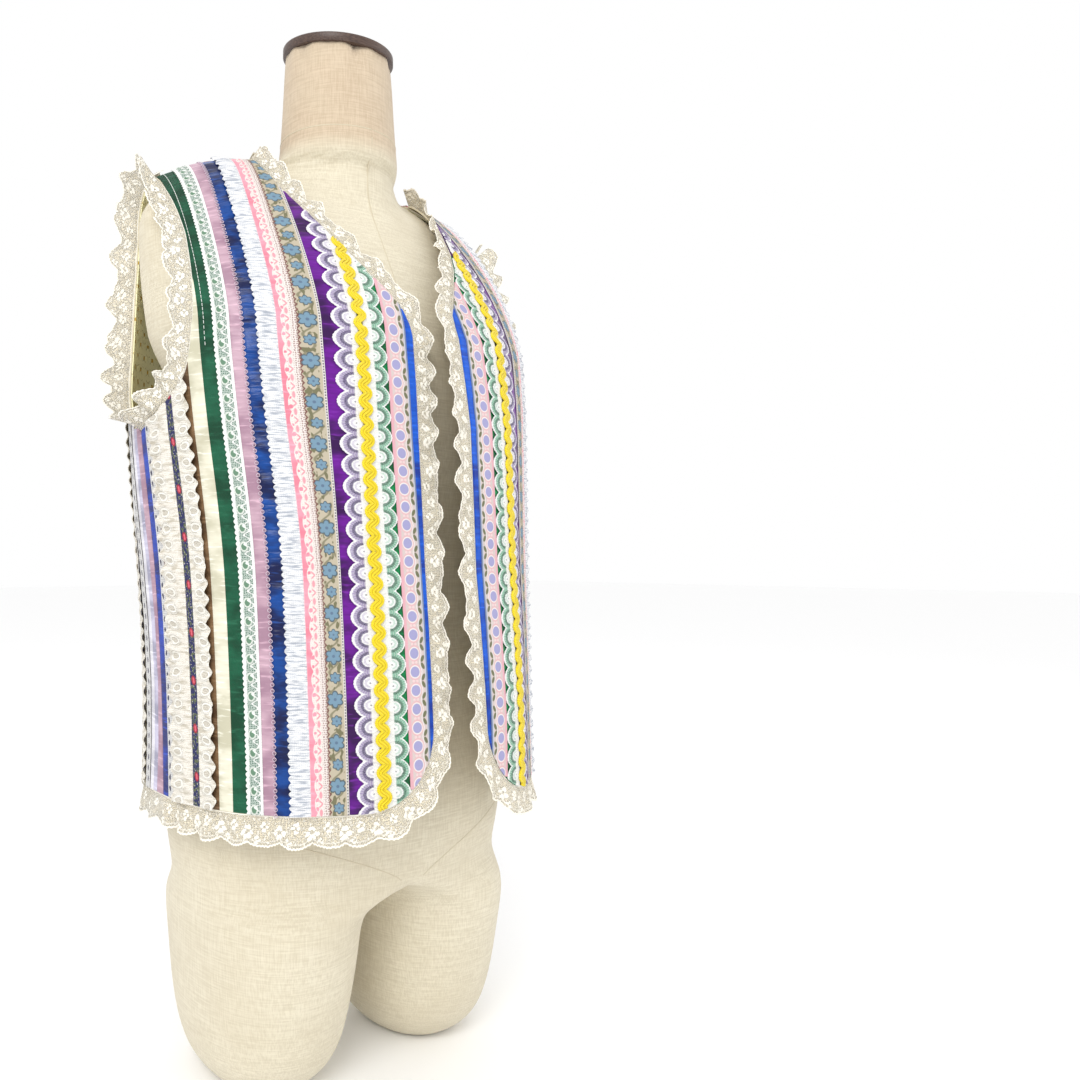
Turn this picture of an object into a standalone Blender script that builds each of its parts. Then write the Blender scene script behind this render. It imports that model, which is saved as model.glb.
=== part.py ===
# A sleeveless vest sewn from upright ribbons, braids and laces, worn by a linen-covered dress form.
# The wearer's front faces -Y, the wearer's left is +X, +Z is up and the form's flat soles lie at Z = 0.
# Metres. Every vest piece is a thin wall laid on one curved cloth surface, so neighbours follow each other.

import bisect
import math

import bmesh
import bpy

# Driving sizes of the vest's surface
CHEST = 0.620           # height where the chest is fullest; the cloth leans back to the shoulder above it
HEM = 0.250             # height of the cloth's lower edge
RISE = 0.220            # height coordinate from the chest line up to the shoulder seam
RIDGE = CHEST + RISE    # height coordinate of the shoulder seam
NECK_X = 0.0895         # shoulder seam, neck end
NECK_Z = 0.787
NECK_RISE = 0.008       # and this much more toward the middle
TIP_X = 0.1785          # shoulder seam, arm end
TIP_Z = 0.751
RIDGE_SWELL = 0.005     # the shoulder seam arches this much between its ends
RIDGE_Y = 0.008         # the shoulder seam lies just behind the form's middle
DART = 0.011            # the purple panel widens this much over the chest
SIDE_SEAM = 0.262       # strip coordinate of the side seam, from centre front
FRONT_ROUND = 0.86      # section exponents: 1 is an ellipse, less is squarer
BACK_ROUND = 0.72
FRONT_LEAN = 1.5        # profile exponents from chest to shoulder: more is straighter
BACK_LEAN = 0.6
BACK_CLIMB = 0.9

# Horizontal sections of the vest's surface
SECTIONS = (
    # height, half_width, front_depth, back_depth
    (0.215, 0.1757, 0.1565, 0.1225),
    (0.250, 0.1750, 0.1550, 0.1210),
    (0.290, 0.1745, 0.1530, 0.1190),
    (0.340, 0.1750, 0.1500, 0.1180),
    (0.390, 0.1770, 0.1460, 0.1180),
    (0.440, 0.1800, 0.1410, 0.1200),
    (0.490, 0.1840, 0.1360, 0.1220),
    (0.535, 0.1870, 0.1310, 0.1240),
    (0.580, 0.1890, 0.1270, 0.1250),
    (0.620, 0.1890, 0.1220, 0.1250),
)

# Wall thicknesses and how far each layer's inner face lies out from the cloth surface
CLOTH = 0.0016
LINING = 0.0010
RIBBON = 0.0010
LACE = 0.0010
GIMP = 0.0016
GAP = 0.0005
SEAM = 0.0003
TOP = RIDGE - SEAM                   # height coordinate of the pieces' upper ends
FIRST = GAP                          # inner face of what is sewn straight on the cloth
SECOND = FIRST + RIBBON + GAP        # inner face of what lies over that

# Rows and columns that all layers share, so that their facets stay parallel
ROWS = (0.215, 0.250, 0.310, 0.370, 0.430, 0.490, 0.545, 0.585, 0.620, 0.655, 0.690, 0.725, 0.760, 0.795,
        0.820, 0.840)
COLUMNS = (-0.030, -0.010, 0.0125, 0.0205, 0.0400, 0.0628, 0.0905, 0.1055, 0.1187, 0.1335,
           0.1450, 0.1665, 0.1790, 0.1935, 0.2090, 0.2178, 0.2405, 0.2620)
PANEL_COLUMNS = (0.0125, 0.0400, 0.0628, 0.0905, 0.1187, 0.1450, 0.1540, 0.1665, 0.1790, 0.2090, 0.2405, 0.2620)
BACK_COLUMNS = (0.000, 0.033, 0.066, 0.099, 0.132, 0.163, 0.194, 0.214, 0.236, 0.262)

# Cut edges: strip coordinate of the edge at each height coordinate
RIGHT_OPENING = (
    # height, strip
    (0.310, 0.0165), (0.430, 0.0165), (0.545, 0.0140), (0.620, 0.0130), (0.640, 0.0146), (0.655, 0.0184),
    (0.672, 0.0312), (0.690, 0.0485), (0.706, 0.0635), (0.725, 0.0762), (0.760, 0.0918), (0.795, 0.0985),
    (0.840, 0.1011),
)
LEFT_OPENING = (
    # height, strip
    (0.310, 0.0285), (0.430, 0.0265), (0.545, 0.0270), (0.620, 0.0250), (0.640, 0.0255), (0.655, 0.0275),
    (0.672, 0.0375), (0.690, 0.0505), (0.706, 0.0640), (0.725, 0.0762), (0.760, 0.0918), (0.795, 0.0985),
    (0.840, 0.1011),
)
ARMHOLE_FRONT = (
    # height, strip
    (0.5450, 0.2620), (0.5520, 0.2360), (0.5640, 0.2155), (0.5745, 0.2005), (0.5850, 0.1935), (0.6040, 0.1872),
    (0.6200, 0.1850), (0.6550, 0.1818), (0.6900, 0.1788), (0.7250, 0.1766), (0.7600, 0.1780), (0.7950, 0.1798),
    (0.8400, 0.1812),
)
ARMHOLE_BACK = (
    # height, distance from centre back
    (0.5450, 0.2500), (0.5520, 0.2300), (0.5640, 0.2170), (0.5850, 0.2020), (0.6200, 0.1890), (0.6550, 0.1820),
    (0.6900, 0.1770), (0.7250, 0.1745), (0.7950, 0.1755), (0.8400, 0.1785),
)
LEFT_FLARE = (
    # height, how far the left front's free edge stands forward of the right one's
    (0.250, 0.0120), (0.310, 0.0140), (0.430, 0.0130), (0.545, 0.0180), (0.620, 0.0140), (0.660, 0.0090),
    (0.700, 0.0040), (0.740, 0.0000),
)
FLARE_START = 0.050      # strip coordinates between which the flare dies away
FLARE_END = 0.145
LEFT_SHIFT = 0.012       # the left front's strips lie this much further from centre front
SHIFT_START = 0.115      # strip coordinates between which that shift dies away
SHIFT_END = 0.155
CORNER_WIDTH = 0.062     # the fronts' lower corners are rounded
CORNER_HEIGHT = 0.060
CORNER_STEPS = 4
BACK_NECK = (
    # height, distance from centre back
    (0.7900, 0.0000), (0.7950, 0.0290), (0.8060, 0.0510), (0.8200, 0.0690), (0.8400, 0.0895),
)

# What is sewn on each front, from centre to side
TRIMS = (
    # name, start, end, inner_face, thickness, form, repeat, depth
    ("blue_ribbon", 0.0000, 0.0205, FIRST, RIBBON, "flat", 0, 0),
    ("oval_braid", 0.0205, 0.0400, FIRST, RIBBON, "flat", 0, 0),
    ("green_lace", 0.0400, 0.0628, FIRST, LACE, "scallop_in", 0.016, 0.0045),
    ("yellow_gimp", 0.0575, 0.0685, SECOND, GIMP, "flat", 0, 0),
    ("lavender_lace", 0.0628, 0.0840, FIRST, LACE, "scallop_out", 0.0165, 0.0050),
    ("purple_satin", 0.0840, 0.0905, FIRST, RIBBON, "flat", 0, 0),
    ("flower_braid", 0.0905, 0.1055, FIRST, RIBBON, "flat", 0, 0),
    ("beading_lace", 0.1055, 0.1155, FIRST, LACE, "flat", 0, 0),
    ("pink_ribbon", 0.1155, 0.1187, FIRST, RIBBON, "flat", 0, 0),
    ("white_ruffle", 0.1187, 0.1335, FIRST, LACE, "ruffle_out", 0.050, 0.0022),
    ("royal_satin", 0.1335, 0.1450, FIRST, RIBBON, "flat", 0, 0),
    ("mauve_satin", 0.1450, 0.1540, FIRST, RIBBON, "flat", 0, 0),
    ("vine_lace", 0.1540, 0.1665, FIRST, LACE, "flat", 0, 0),
    ("emerald_ribbon", 0.1665, 0.1790, FIRST, RIBBON, "flat", 0, 0),
    ("cream_satin", 0.1790, 0.1905, FIRST, RIBBON, "flat", 0, 0),
    ("inner_ruffle", 0.1935, 0.2090, FIRST, LACE, "ruffle_in", 0.030, 0.0050),
    ("rosebud_braid", 0.2090, 0.2178, FIRST, RIBBON, "flat", 0, 0),
    ("outer_ruffle", 0.2178, 0.2405, FIRST, LACE, "ruffle_out", 0.030, 0.0050),
    ("slotted_lace", 0.2415, 0.2550, FIRST, LACE, "flat", 0, 0),
)

# Ribbon groups over each half of the back, from the centre outward
BACK_GROUPS = (
    # name, start, end, material
    ("back_inner_ribbons", 0.0110, 0.0660, "purple"),
    ("back_middle_ribbons", 0.0660, 0.1320, "pink_cream"),
    ("back_outer_ribbons", 0.1320, 0.1940, "emerald"),
    ("back_side_ribbons", 0.1940, 0.2620, "cream_satin"),
)

# Lace round the cut edges: width, and how far its free edge waves
FRONT_LACE = 0.0190
HEM_LACE = 0.0240
NECK_LACE = 0.0170
ARMHOLE_LACE = 0.0210
EDGE_WAVE = 0.0030
ARMHOLE_WAVE = 0.0060
RIGHT_LIFT = 0.0006      # at the opening the right front's lace lies over the left one's
LEFT_TUCK = 0.0022
NECK_LACE_TOP = 0.834    # height coordinate where the back neck lace ends beside the shoulder seams
OPENING_STEP = 0.030     # distance between points along the flat laces of the opening
HEM_REPEAT = 0.042
ARMHOLE_REPEAT = 0.034

# The dress form: half width of its outline at each height, then front and back depth below the chest
OUTLINE = (
    # height, half_width
    (0.172, 0.1520), (0.200, 0.1560), (0.250, 0.1600), (0.330, 0.1510), (0.420, 0.1360), (0.500, 0.1440),
    (0.580, 0.1560), (0.630, 0.1630), (0.675, 0.1700), (0.715, 0.1740), (0.736, 0.1725), (0.746, 0.1690),
)
DEPTHS = (
    # height, front_depth, back_depth
    (0.172, 0.1050, 0.1100), (0.200, 0.1100, 0.1120), (0.250, 0.1130, 0.1080), (0.330, 0.1030, 0.0920),
    (0.420, 0.0930, 0.0840), (0.500, 0.1010, 0.0900), (0.580, 0.1110, 0.0980), (0.620, 0.1110, 0.1000),
)
SHOULDER_HEIGHTS = (0.755, 0.764, 0.773, 0.781, 0.787)
SHOULDER_DROP = 0.0044   # the form's shoulder line lies this much under the vest's
FORM_ROUND = 2.4         # exponent of the form's sections
NECK_RINGS = (
    # height, half_width, half_depth
    (0.600, 0.0800, 0.0400), (0.720, 0.0640, 0.0540), (0.770, 0.0590, 0.0540), (0.794, 0.0570, 0.0530),
    (0.812, 0.0545, 0.0520), (0.850, 0.0515, 0.0503), (0.895, 0.0490, 0.0490),
)
NECK_BLEND = 5           # how tightly the neck and the chest run together
NECK_TILT = 0.138        # the neck's top slopes down to the front
CAP_RADIUS = 0.0505
CAP_HEIGHT = 0.0080
CAP_EDGE = 0.0015
THIGHS = (
    # height, centre_x, half_width, half_depth
    (0.150, 0.0785, 0.0740, 0.1060), (0.115, 0.0805, 0.0705, 0.1000), (0.075, 0.0818, 0.0675, 0.0915),
    (0.042, 0.0820, 0.0625, 0.0825), (0.020, 0.0820, 0.0545, 0.0710), (0.006, 0.0820, 0.0430, 0.0560),
    (0.000, 0.0820, 0.0330, 0.0430),
)
THIGH_Y = 0.003
THIGH_ROUND = 2.3
CROTCH = 0.163
CROTCH_POINTS = 5
SECTION_STEPS = 400      # short steps along half of each horizontal section
AROUND = 24              # points round each ring of the torso, a multiple of 4
CAP_AROUND = 24

COLOURS = {
    # material: red, green, blue, roughness
    "linen": (0.70, 0.63, 0.52, 0.85),
    "cap_brown": (0.045, 0.030, 0.024, 0.45),
    "cream_cloth": (0.80, 0.76, 0.62, 0.80),
    "yellow_print": (0.78, 0.74, 0.40, 0.80),
    "royal_blue": (0.02, 0.08, 0.60, 0.35),
    "lilac_braid": (0.62, 0.55, 0.68, 0.70),
    "green_white": (0.50, 0.72, 0.58, 0.80),
    "yellow": (0.93, 0.80, 0.04, 0.60),
    "lavender_white": (0.74, 0.70, 0.80, 0.80),
    "purple": (0.17, 0.02, 0.36, 0.30),
    "beige_blue": (0.45, 0.47, 0.44, 0.80),
    "pink_cream": (0.88, 0.72, 0.68, 0.85),
    "pink": (0.90, 0.36, 0.44, 0.55),
    "white": (0.86, 0.88, 0.92, 0.85),
    "navy": (0.01, 0.04, 0.32, 0.30),
    "mauve": (0.56, 0.34, 0.44, 0.40),
    "green_vine": (0.62, 0.76, 0.68, 0.85),
    "emerald": (0.01, 0.20, 0.10, 0.40),
    "cream_satin": (0.80, 0.75, 0.62, 0.35),
    "cream_lace": (0.82, 0.78, 0.70, 0.90),
    "rosebud": (0.10, 0.06, 0.16, 0.80),
}
TRIM_COLOURS = {
    "blue_ribbon": "royal_blue", "oval_braid": "lilac_braid", "green_lace": "green_white",
    "yellow_gimp": "yellow", "lavender_lace": "lavender_white", "purple_satin": "purple",
    "flower_braid": "beige_blue", "beading_lace": "pink_cream", "pink_ribbon": "pink",
    "white_ruffle": "white", "royal_satin": "navy", "mauve_satin": "mauve", "vine_lace": "green_vine",
    "emerald_ribbon": "emerald", "cream_satin": "cream_satin", "inner_ruffle": "cream_lace",
    "rosebud_braid": "rosebud", "outer_ruffle": "cream_lace", "slotted_lace": "white",
}


def between(table, height, column):
    """Value in a table's column at a height, straight between its rows."""
    if height <= table[0][0]:
        return table[0][column]
    for low, high in zip(table, table[1:]):
        if height <= high[0]:
            share = (height - low[0]) / (high[0] - low[0])
            return low[column] + (high[column] - low[column]) * share
    return table[-1][column]


def ease(value):
    """Smooth step from 0 to 1."""
    value = min(max(value, 0.0), 1.0)
    return value * value * (3 - 2 * value)


def ridge_height(x):
    """Height of the shoulder seam over a distance from the middle, levelling out inside the neck."""
    share = (abs(x) - NECK_X) / (TIP_X - NECK_X)
    if share < 0:
        return NECK_Z + NECK_RISE * (1 - math.exp((abs(x) - NECK_X) / 0.020))
    swell = RIDGE_SWELL * math.sin(math.pi * share) if share < 1 else 0.0
    return NECK_Z + (TIP_Z - NECK_Z) * share + swell


section_cache = {}


def section(height):
    """One half of a horizontal section, as lengths along it from centre front and its points."""
    if height not in section_cache:
        half_width = between(SECTIONS, height, 1)
        front = between(SECTIONS, height, 2)
        back = between(SECTIONS, height, 3)
        points = []
        for step in range(SECTION_STEPS + 1):
            turn = math.pi * step / SECTION_STEPS
            side = math.sin(turn) if 0 < step < SECTION_STEPS else 0.0
            along = math.cos(turn)
            if along > 0:
                y = -front * along ** FRONT_ROUND
            else:
                y = back * abs(along) ** BACK_ROUND
            points.append((half_width * side ** FRONT_ROUND, y))
        lengths = [0.0]
        for one, two in zip(points, points[1:]):
            lengths.append(lengths[-1] + math.dist(one, two))
        section_cache[height] = (lengths, points)
    return section_cache[height]


def on_section(height, length):
    """Point on the section at a length from centre front; a negative length is the mirror side."""
    lengths, points = section(height)
    place = min(abs(length), lengths[-1])
    index = min(max(bisect.bisect_right(lengths, place) - 1, 0), len(points) - 2)
    share = (place - lengths[index]) / (lengths[index + 1] - lengths[index])
    x = points[index][0] + (points[index + 1][0] - points[index][0]) * share
    y = points[index][1] + (points[index + 1][1] - points[index][1]) * share
    return math.copysign(x, length), y


def half_girth(height):
    """Length of one half section from centre front to centre back."""
    return section(min(height, CHEST))[0][-1]


def chest_spread(strip, height):
    """Length from centre front of a strip coordinate, wider over the chest past the purple panel."""
    return strip + math.copysign(DART * ease((abs(strip) - 0.068) / 0.05) * ease((height - 0.42) / 0.20), strip)


def front_point(strip, height):
    """Point of the cloth surface on a front."""
    x, y = on_section(min(height, CHEST), chest_spread(strip, height))
    if height <= CHEST:
        return x, y, height
    turn = (height - CHEST) / RISE * math.pi / 2
    climb = math.sin(turn) ** FRONT_LEAN
    seam_x = math.copysign(0.109 + 1.11 * (abs(strip) - 0.1187), strip)
    x += (seam_x - x) * climb ** 3
    y = RIDGE_Y + (y - RIDGE_Y) * max(math.cos(turn), 0.0) ** FRONT_LEAN
    return x, y, CHEST + (ridge_height(x) - CHEST) * climb


def left_front_point(strip, height):
    """Point of the cloth surface on the left front, whose free edge stands forward."""
    x, y, z = front_point(strip, height)
    fade = 1 - ease((abs(strip) - FLARE_START) / (FLARE_END - FLARE_START))
    return x, y - between(LEFT_FLARE, height, 1) * fade, z


def strip_place(side, strip):
    """Strip coordinate of a place on one front from its place in the tables."""
    if side < 0:
        return strip
    return strip + LEFT_SHIFT * (1 - ease((strip - SHIFT_START) / (SHIFT_END - SHIFT_START)))


def back_point(across, height):
    """Point of the cloth surface on the back, by its distance from centre back."""
    x, y = on_section(min(height, CHEST), half_girth(height) - abs(across))
    x = math.copysign(x, across)
    if height <= CHEST:
        return x, y, height
    turn = (height - CHEST) / RISE * math.pi / 2
    climb = math.sin(turn) ** BACK_CLIMB
    x += (across - x) * climb ** 3
    y = RIDGE_Y + (y - RIDGE_Y) * max(math.cos(turn), 0.0) ** BACK_LEAN
    return x, y, CHEST + (ridge_height(x) - CHEST) * climb


def cross(one, two):
    """Cross product."""
    return (one[1] * two[2] - one[2] * two[1], one[2] * two[0] - one[0] * two[2], one[0] * two[1] - one[1] * two[0])


def unit(vector):
    """Vector of length 1."""
    size = math.sqrt(sum(part * part for part in vector))
    return tuple(part / size for part in vector)


def slope(surface, strip, height):
    """Outward direction of the cloth surface."""
    reach = 0.004
    low = max(height - reach, 0.2151)
    high = min(height + reach, RIDGE - 0.002)
    if low >= high:
        low = high - reach
    along = [b - a for a, b in zip(surface(strip - reach, height), surface(strip + reach, height))]
    up = [b - a for a, b in zip(surface(strip, low), surface(strip, high))]
    normal = unit(cross(along, up))
    flip = -1 if surface is back_point else 1
    return tuple(part * flip for part in normal)


def ridge_normal(x):
    """Outward direction at the shoulder seam, where front and back meet."""
    reach = 0.003
    rise = (ridge_height(x + reach) - ridge_height(x - reach)) / (2 * reach)
    return unit((-rise, 0.0, 1.0))


class Grid:
    """The cloth surface as shared facets: points and outward directions, straight between its rows and columns."""

    def __init__(self, surface, columns):
        self.rows = ROWS
        self.columns = columns
        self.points = [[surface(strip, height) for strip in columns] for height in ROWS]
        self.normals = [[slope(surface, strip, height) for strip in columns] for height in ROWS[:-1]]
        self.normals.append([ridge_normal(point[0]) for point in self.points[-1]])

    def place(self, strip, height, offset):
        """Point at a strip coordinate and height, moved out by an offset."""
        row = min(max(bisect.bisect_right(self.rows, height) - 1, 0), len(self.rows) - 2)
        column = min(max(bisect.bisect_right(self.columns, strip) - 1, 0), len(self.columns) - 2)
        v = (height - self.rows[row]) / (self.rows[row + 1] - self.rows[row])
        u = (strip - self.columns[column]) / (self.columns[column + 1] - self.columns[column])
        result = []
        for axis in range(3):
            value = 0.0
            for dr, wr in ((0, 1 - v), (1, v)):
                for dc, wc in ((0, 1 - u), (1, u)):
                    point = self.points[row + dr][column + dc][axis]
                    normal = self.normals[row + dr][column + dc][axis]
                    value += wr * wc * (point + offset * normal)
            result.append(value)
        return result


def front_edge(side, height):
    """Strip coordinate of a front's cut edge: rounded corner, opening, then neck."""
    table = RIGHT_OPENING if side < 0 else LEFT_OPENING
    edge = between(table, height, 1)
    if height < HEM + CORNER_HEIGHT:
        drop = 1 - (height - HEM) / CORNER_HEIGHT
        edge += CORNER_WIDTH * (1 - math.sqrt(max(1 - drop * drop, 0.0)))
    return edge


def corner_heights():
    """Heights where a rounded lower corner bends."""
    turns = [math.pi / 2 * number / CORNER_STEPS for number in range(1, CORNER_STEPS)]
    return [HEM + CORNER_HEIGHT * (1 - math.cos(turn)) for turn in turns]


def front_heights():
    """Heights of a front panel's rows."""
    cuts = [row[0] for row in RIGHT_OPENING + ARMHOLE_FRONT] + corner_heights()
    return heights_within(HEM, TOP, cuts)


def back_heights():
    """Heights of the back's rows."""
    return heights_within(HEM, TOP, [row[0] for row in ARMHOLE_BACK + BACK_NECK])


def side_edge(height):
    """Strip coordinate of a front's outer edge: side seam, then armhole."""
    if height <= ARMHOLE_FRONT[0][0]:
        return SIDE_SEAM
    return between(ARMHOLE_FRONT, height, 1)


def back_side_edge(height):
    """Distance from centre back of the back's outer edge: side seam, then armhole."""
    seam = half_girth(height) - chest_spread(SIDE_SEAM, height) - SEAM
    if height <= ARMHOLE_BACK[0][0]:
        return seam
    return min(seam, between(ARMHOLE_BACK, height, 1))


def back_neck_edge(height):
    """Distance from centre back of the neck edge, nothing below its dip."""
    return between(BACK_NECK, height, 1)


def clear_scene():
    """Removes what the file holds."""
    for item in list(bpy.data.objects):
        bpy.data.objects.remove(item, do_unlink=True)


materials = {}


def material(name):
    """Principled material of a table row."""
    if name not in materials:
        made = bpy.data.materials.new(name)
        made.use_nodes = True
        shader = made.node_tree.nodes["Principled BSDF"]
        red, green, blue, rough = COLOURS[name]
        shader.inputs["Base Color"].default_value = (red, green, blue, 1)
        shader.inputs["Roughness"].default_value = rough
        shader.inputs["Metallic"].default_value = 0.0
        made.diffuse_color = (red, green, blue, 1)
        materials[name] = made
    return materials[name]


def add_object(name, points, faces, colour):
    """One named object from points and faces, its faces turned outward."""
    mesh = bpy.data.meshes.new(name)
    mesh.from_pydata(points, [], faces)
    work = bmesh.new()
    work.from_mesh(mesh)
    bmesh.ops.recalc_face_normals(work, faces=work.faces[:])
    if work.calc_volume(signed=True) < 0:
        bmesh.ops.reverse_faces(work, faces=work.faces[:])
    work.to_mesh(mesh)
    work.free()
    mesh.materials.append(material(colour))
    made = bpy.data.objects.new(name, mesh)
    bpy.context.scene.collection.objects.link(made)
    mesh.shade_smooth()
    mesh.set_sharp_from_angle(angle=math.radians(35))
    return made


def wall(name, sheets, inner, outer, colour):
    """Closed wall from sheets of rows of flat (strip, height) places: inner and outer turn a place into a point.
    Places that fall together are one point, so rows may narrow to a tip and sheets join along an edge."""
    index = {}
    outside = []
    inside = []

    def corner(place):
        key = (round(place[0], 5), round(place[1], 5))
        if key not in index:
            index[key] = len(outside)
            outside.append(outer(place))
            inside.append(inner(place))
        return index[key]

    patches = []
    for lines in sheets:
        for low, high in zip(lines, lines[1:]):
            for a, b, c, d in zip(low, low[1:], high[1:], high):
                ring = []
                for number in (corner(a), corner(b), corner(c), corner(d)):
                    if number not in ring:
                        ring.append(number)
                patches += [[ring[0], ring[k], ring[k + 1]] for k in range(1, len(ring) - 1)]
    count = len(outside)
    faces = list(patches)
    faces += [[number + count for number in reversed(ring)] for ring in patches]
    edges = {}
    for ring in patches:
        for one, two in zip(ring, ring[1:] + ring[:1]):
            edges[(one, two)] = True
    for one, two in edges:
        if (two, one) not in edges:
            faces.append([two, one, one + count, two + count])
    return add_object(name, outside + inside, faces, colour)


def heights_within(low, high, extra=()):
    """Shared rows inside a range, its two ends and any extra heights, in order."""
    found = [height for height in list(ROWS) + list(extra) if low + 0.002 < height < high - 0.002]
    ordered = sorted(set([low] + found + [high]))
    kept = [ordered[0]]
    for height in ordered[1:]:
        if height - kept[-1] > 0.0008 or height == high:
            kept.append(height)
    return kept


def span(start, end, low_edge, high_edge, low, high):
    """Heights of the lowest stretch where a strip has width between two cut edges, found in 1 mm steps."""
    step = 0.001
    count = int((high - low) / step)
    bottom = None
    top = low
    for number in range(count + 1):
        height = low + step * number
        if min(end, high_edge(height)) - max(start, low_edge(height)) > 0.0012:
            bottom = height if bottom is None else bottom
            top = height
        elif bottom is not None:
            return bottom, top
    return bottom, high


def trim_lines(start, end, side, form, repeat, depth):
    """Rows of places for one trim of a front, cut by the front's edges."""
    half_seam = SEAM / 2

    def near(height):
        return front_edge(side, height)

    low, high = span(start, end, near, side_edge, HEM, TOP)
    columns = [strip_place(side, column) for column in PANEL_COLUMNS]
    bends = [column for column in columns if start + 0.001 < column < end - 0.001]
    extra = []
    if repeat:
        parts = 2 if form.startswith("scallop") else 4
        extra = [HEM + repeat * number / parts for number in range(int((high - HEM) * parts / repeat) + 1)]
    cuts = corner_heights() if start < 0.085 else []
    opening = RIGHT_OPENING if side < 0 else LEFT_OPENING
    cuts += [row[0] for row in opening if start < 0.11 and start - 0.01 < row[1] < end + 0.01]
    cuts += [row[0] for row in (ARMHOLE_FRONT if end > 0.175 else ()) if start - 0.02 < row[1] < end + 0.02]
    lines = []
    for height in heights_within(low, high, extra + cuts):
        first = start + half_seam
        last = end - half_seam
        wave = 0.0
        if form == "scallop_in":
            wave = depth * (round((height - HEM) / repeat * 2) % 2)
            first += wave
        if form == "scallop_out":
            wave = depth * (round((height - HEM) / repeat * 2) % 2)
            last -= wave
        first = max(first, near(height) + SEAM)
        last = min(last, side_edge(height) - SEAM)
        if last - first < 0.0005:
            last = first + 0.0005
        across = [first] + [min(max(column, first), last) for column in bends] + [last]
        lines.append([(strip, height) for strip in across])
    return lines


def ruffle_lift(height, repeat, depth):
    """How far a ruffle's free edge stands off at a height."""
    return depth * (0.5 - 0.5 * math.cos(2 * math.pi * (height - HEM) / repeat))


def front_trim(name, grid, side, row):
    """One ribbon, braid or lace on one front."""
    _, start, end, face, thick, form, repeat, depth = row
    start = strip_place(side, start)
    end = strip_place(side, end)
    lines = trim_lines(start, end, side, form, repeat, depth)

    def lift(place):
        if form == "ruffle_out":
            return ruffle_lift(place[1], repeat, depth) * ease((place[0] - start) / (end - start))
        if form == "ruffle_in":
            return ruffle_lift(place[1], repeat, depth) * ease((end - place[0]) / (end - start))
        return 0.0

    return surface_wall(name, [lines], grid, side, lambda place: face + lift(place), thick, TRIM_COLOURS[row[0]])


def front_panel(name, grid, side):
    """The cloth of one front, from its opening to the side seam and armhole."""
    lines = []
    for height in front_heights():
        first = front_edge(side, height)
        last = side_edge(height)
        columns = [strip_place(side, column) for column in PANEL_COLUMNS]
        lines.append([(min(max(column, first), last), height) for column in columns])

    return surface_wall(name, [lines], grid, side, lambda place: -CLOTH, CLOTH, "cream_cloth")


def back_rows(first_edge, last_edge, heights):
    """Rows of places over one half of the back between two edges, on the shared columns."""
    lines = []
    for height in heights:
        inner = first_edge(height)
        outer = max(last_edge(height), inner + 0.0005)
        lines.append([(min(max(column, inner), outer), height) for column in BACK_COLUMNS])
    return lines


def back_layer(name, grid, margin, face, thick, colour):
    """The whole back in one wall: two halves that meet at the centre up to the neck's dip."""

    def first(height):
        return back_neck_edge(height) + (margin if height > BACK_NECK[0][0] else 0.0)

    def last(height):
        return back_side_edge(height) - margin

    heights = back_heights()
    half = back_rows(first, last, [heights[0] + margin] + heights[1:])
    other = [[(-across, height) for across, height in reversed(line)] for line in half]
    return surface_wall(name, [half, other], grid, 0, lambda place: face, thick, colour)


def surface_wall(name, sheets, grid, side, lift, thick, colour):
    """Wall over sheets of places on a grid. Side 0 takes places on both halves, else they are mirrored to it."""

    def point(place, offset):
        x, y, z = grid.place(abs(place[0]) if side == 0 else place[0], place[1], offset)
        if side == 0:
            return math.copysign(x, place[0]), y, z
        return side * x, y, z

    return wall(name, sheets, lambda place: point(place, lift(place)),
                lambda place: point(place, lift(place) + thick), colour)


def back_group(name, grid, side, start, end, colour):
    """A group of ribbons over one half of the back."""

    def first(height):
        return max(start + SEAM / 2, back_neck_edge(height) + SEAM)

    def last(height):
        return min(end - SEAM / 2, back_side_edge(height) - SEAM)

    low, high = span(start, end, back_neck_edge, back_side_edge, HEM, TOP)
    cuts = [row[0] for row in ARMHOLE_BACK if start - 0.03 < row[1] < end + 0.03] if end > 0.14 else []
    cuts += [row[0] for row in BACK_NECK if row[0] < high] if start < 0.08 else []
    lines = []
    for height in heights_within(low, high, cuts):
        inner = first(height)
        outer = max(last(height), inner + 0.0005)
        columns = [inner] + [c for c in BACK_COLUMNS if start < c < end] + [outer]
        lines.append([(min(max(column, inner), outer), height) for column in columns])
    return surface_wall(name, [lines], grid, side, lambda place: FIRST, RIBBON, colour)


def back_centre(name, grid, half_width, colour):
    """The ribbon down the middle of the back."""
    top = BACK_NECK[0][0] - SEAM
    lines = [[(-half_width, height), (0.0, height), (half_width, height)] for height in heights_within(HEM, top)]
    return surface_wall(name, [lines], grid, 0, lambda place: FIRST, RIBBON, colour)


class Edge:
    """A cut edge as points on the cloth, each with the directions off the cloth and outward."""

    def __init__(self, stations, closed=False):
        """Stations are points with outward directions; off the cloth lies to the left of the way along them."""
        self.points = [station[0] for station in stations]
        self.outs = [station[1] for station in stations]
        self.offs = []
        count = len(stations)
        for number in range(count):
            if closed:
                before, after = self.points[number - 1], self.points[(number + 1) % count]
            else:
                before, after = self.points[max(number - 1, 0)], self.points[min(number + 1, count - 1)]
            along = [b - a for a, b in zip(before, after)]
            self.offs.append(unit(cross(self.outs[number], along)))


def edge_station(grid, side, strip, height):
    """Point on the cloth's mid-wall at a cut edge and its outward direction, for an Edge."""
    point = grid.place(strip, height, -CLOTH / 2)
    outer = grid.place(strip, height, 1.0 - CLOTH / 2)
    outward = unit([b - a for a, b in zip(point, outer)])
    return (side * point[0], point[1], point[2]), (side * outward[0], outward[1], outward[2]), (height,)


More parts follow.
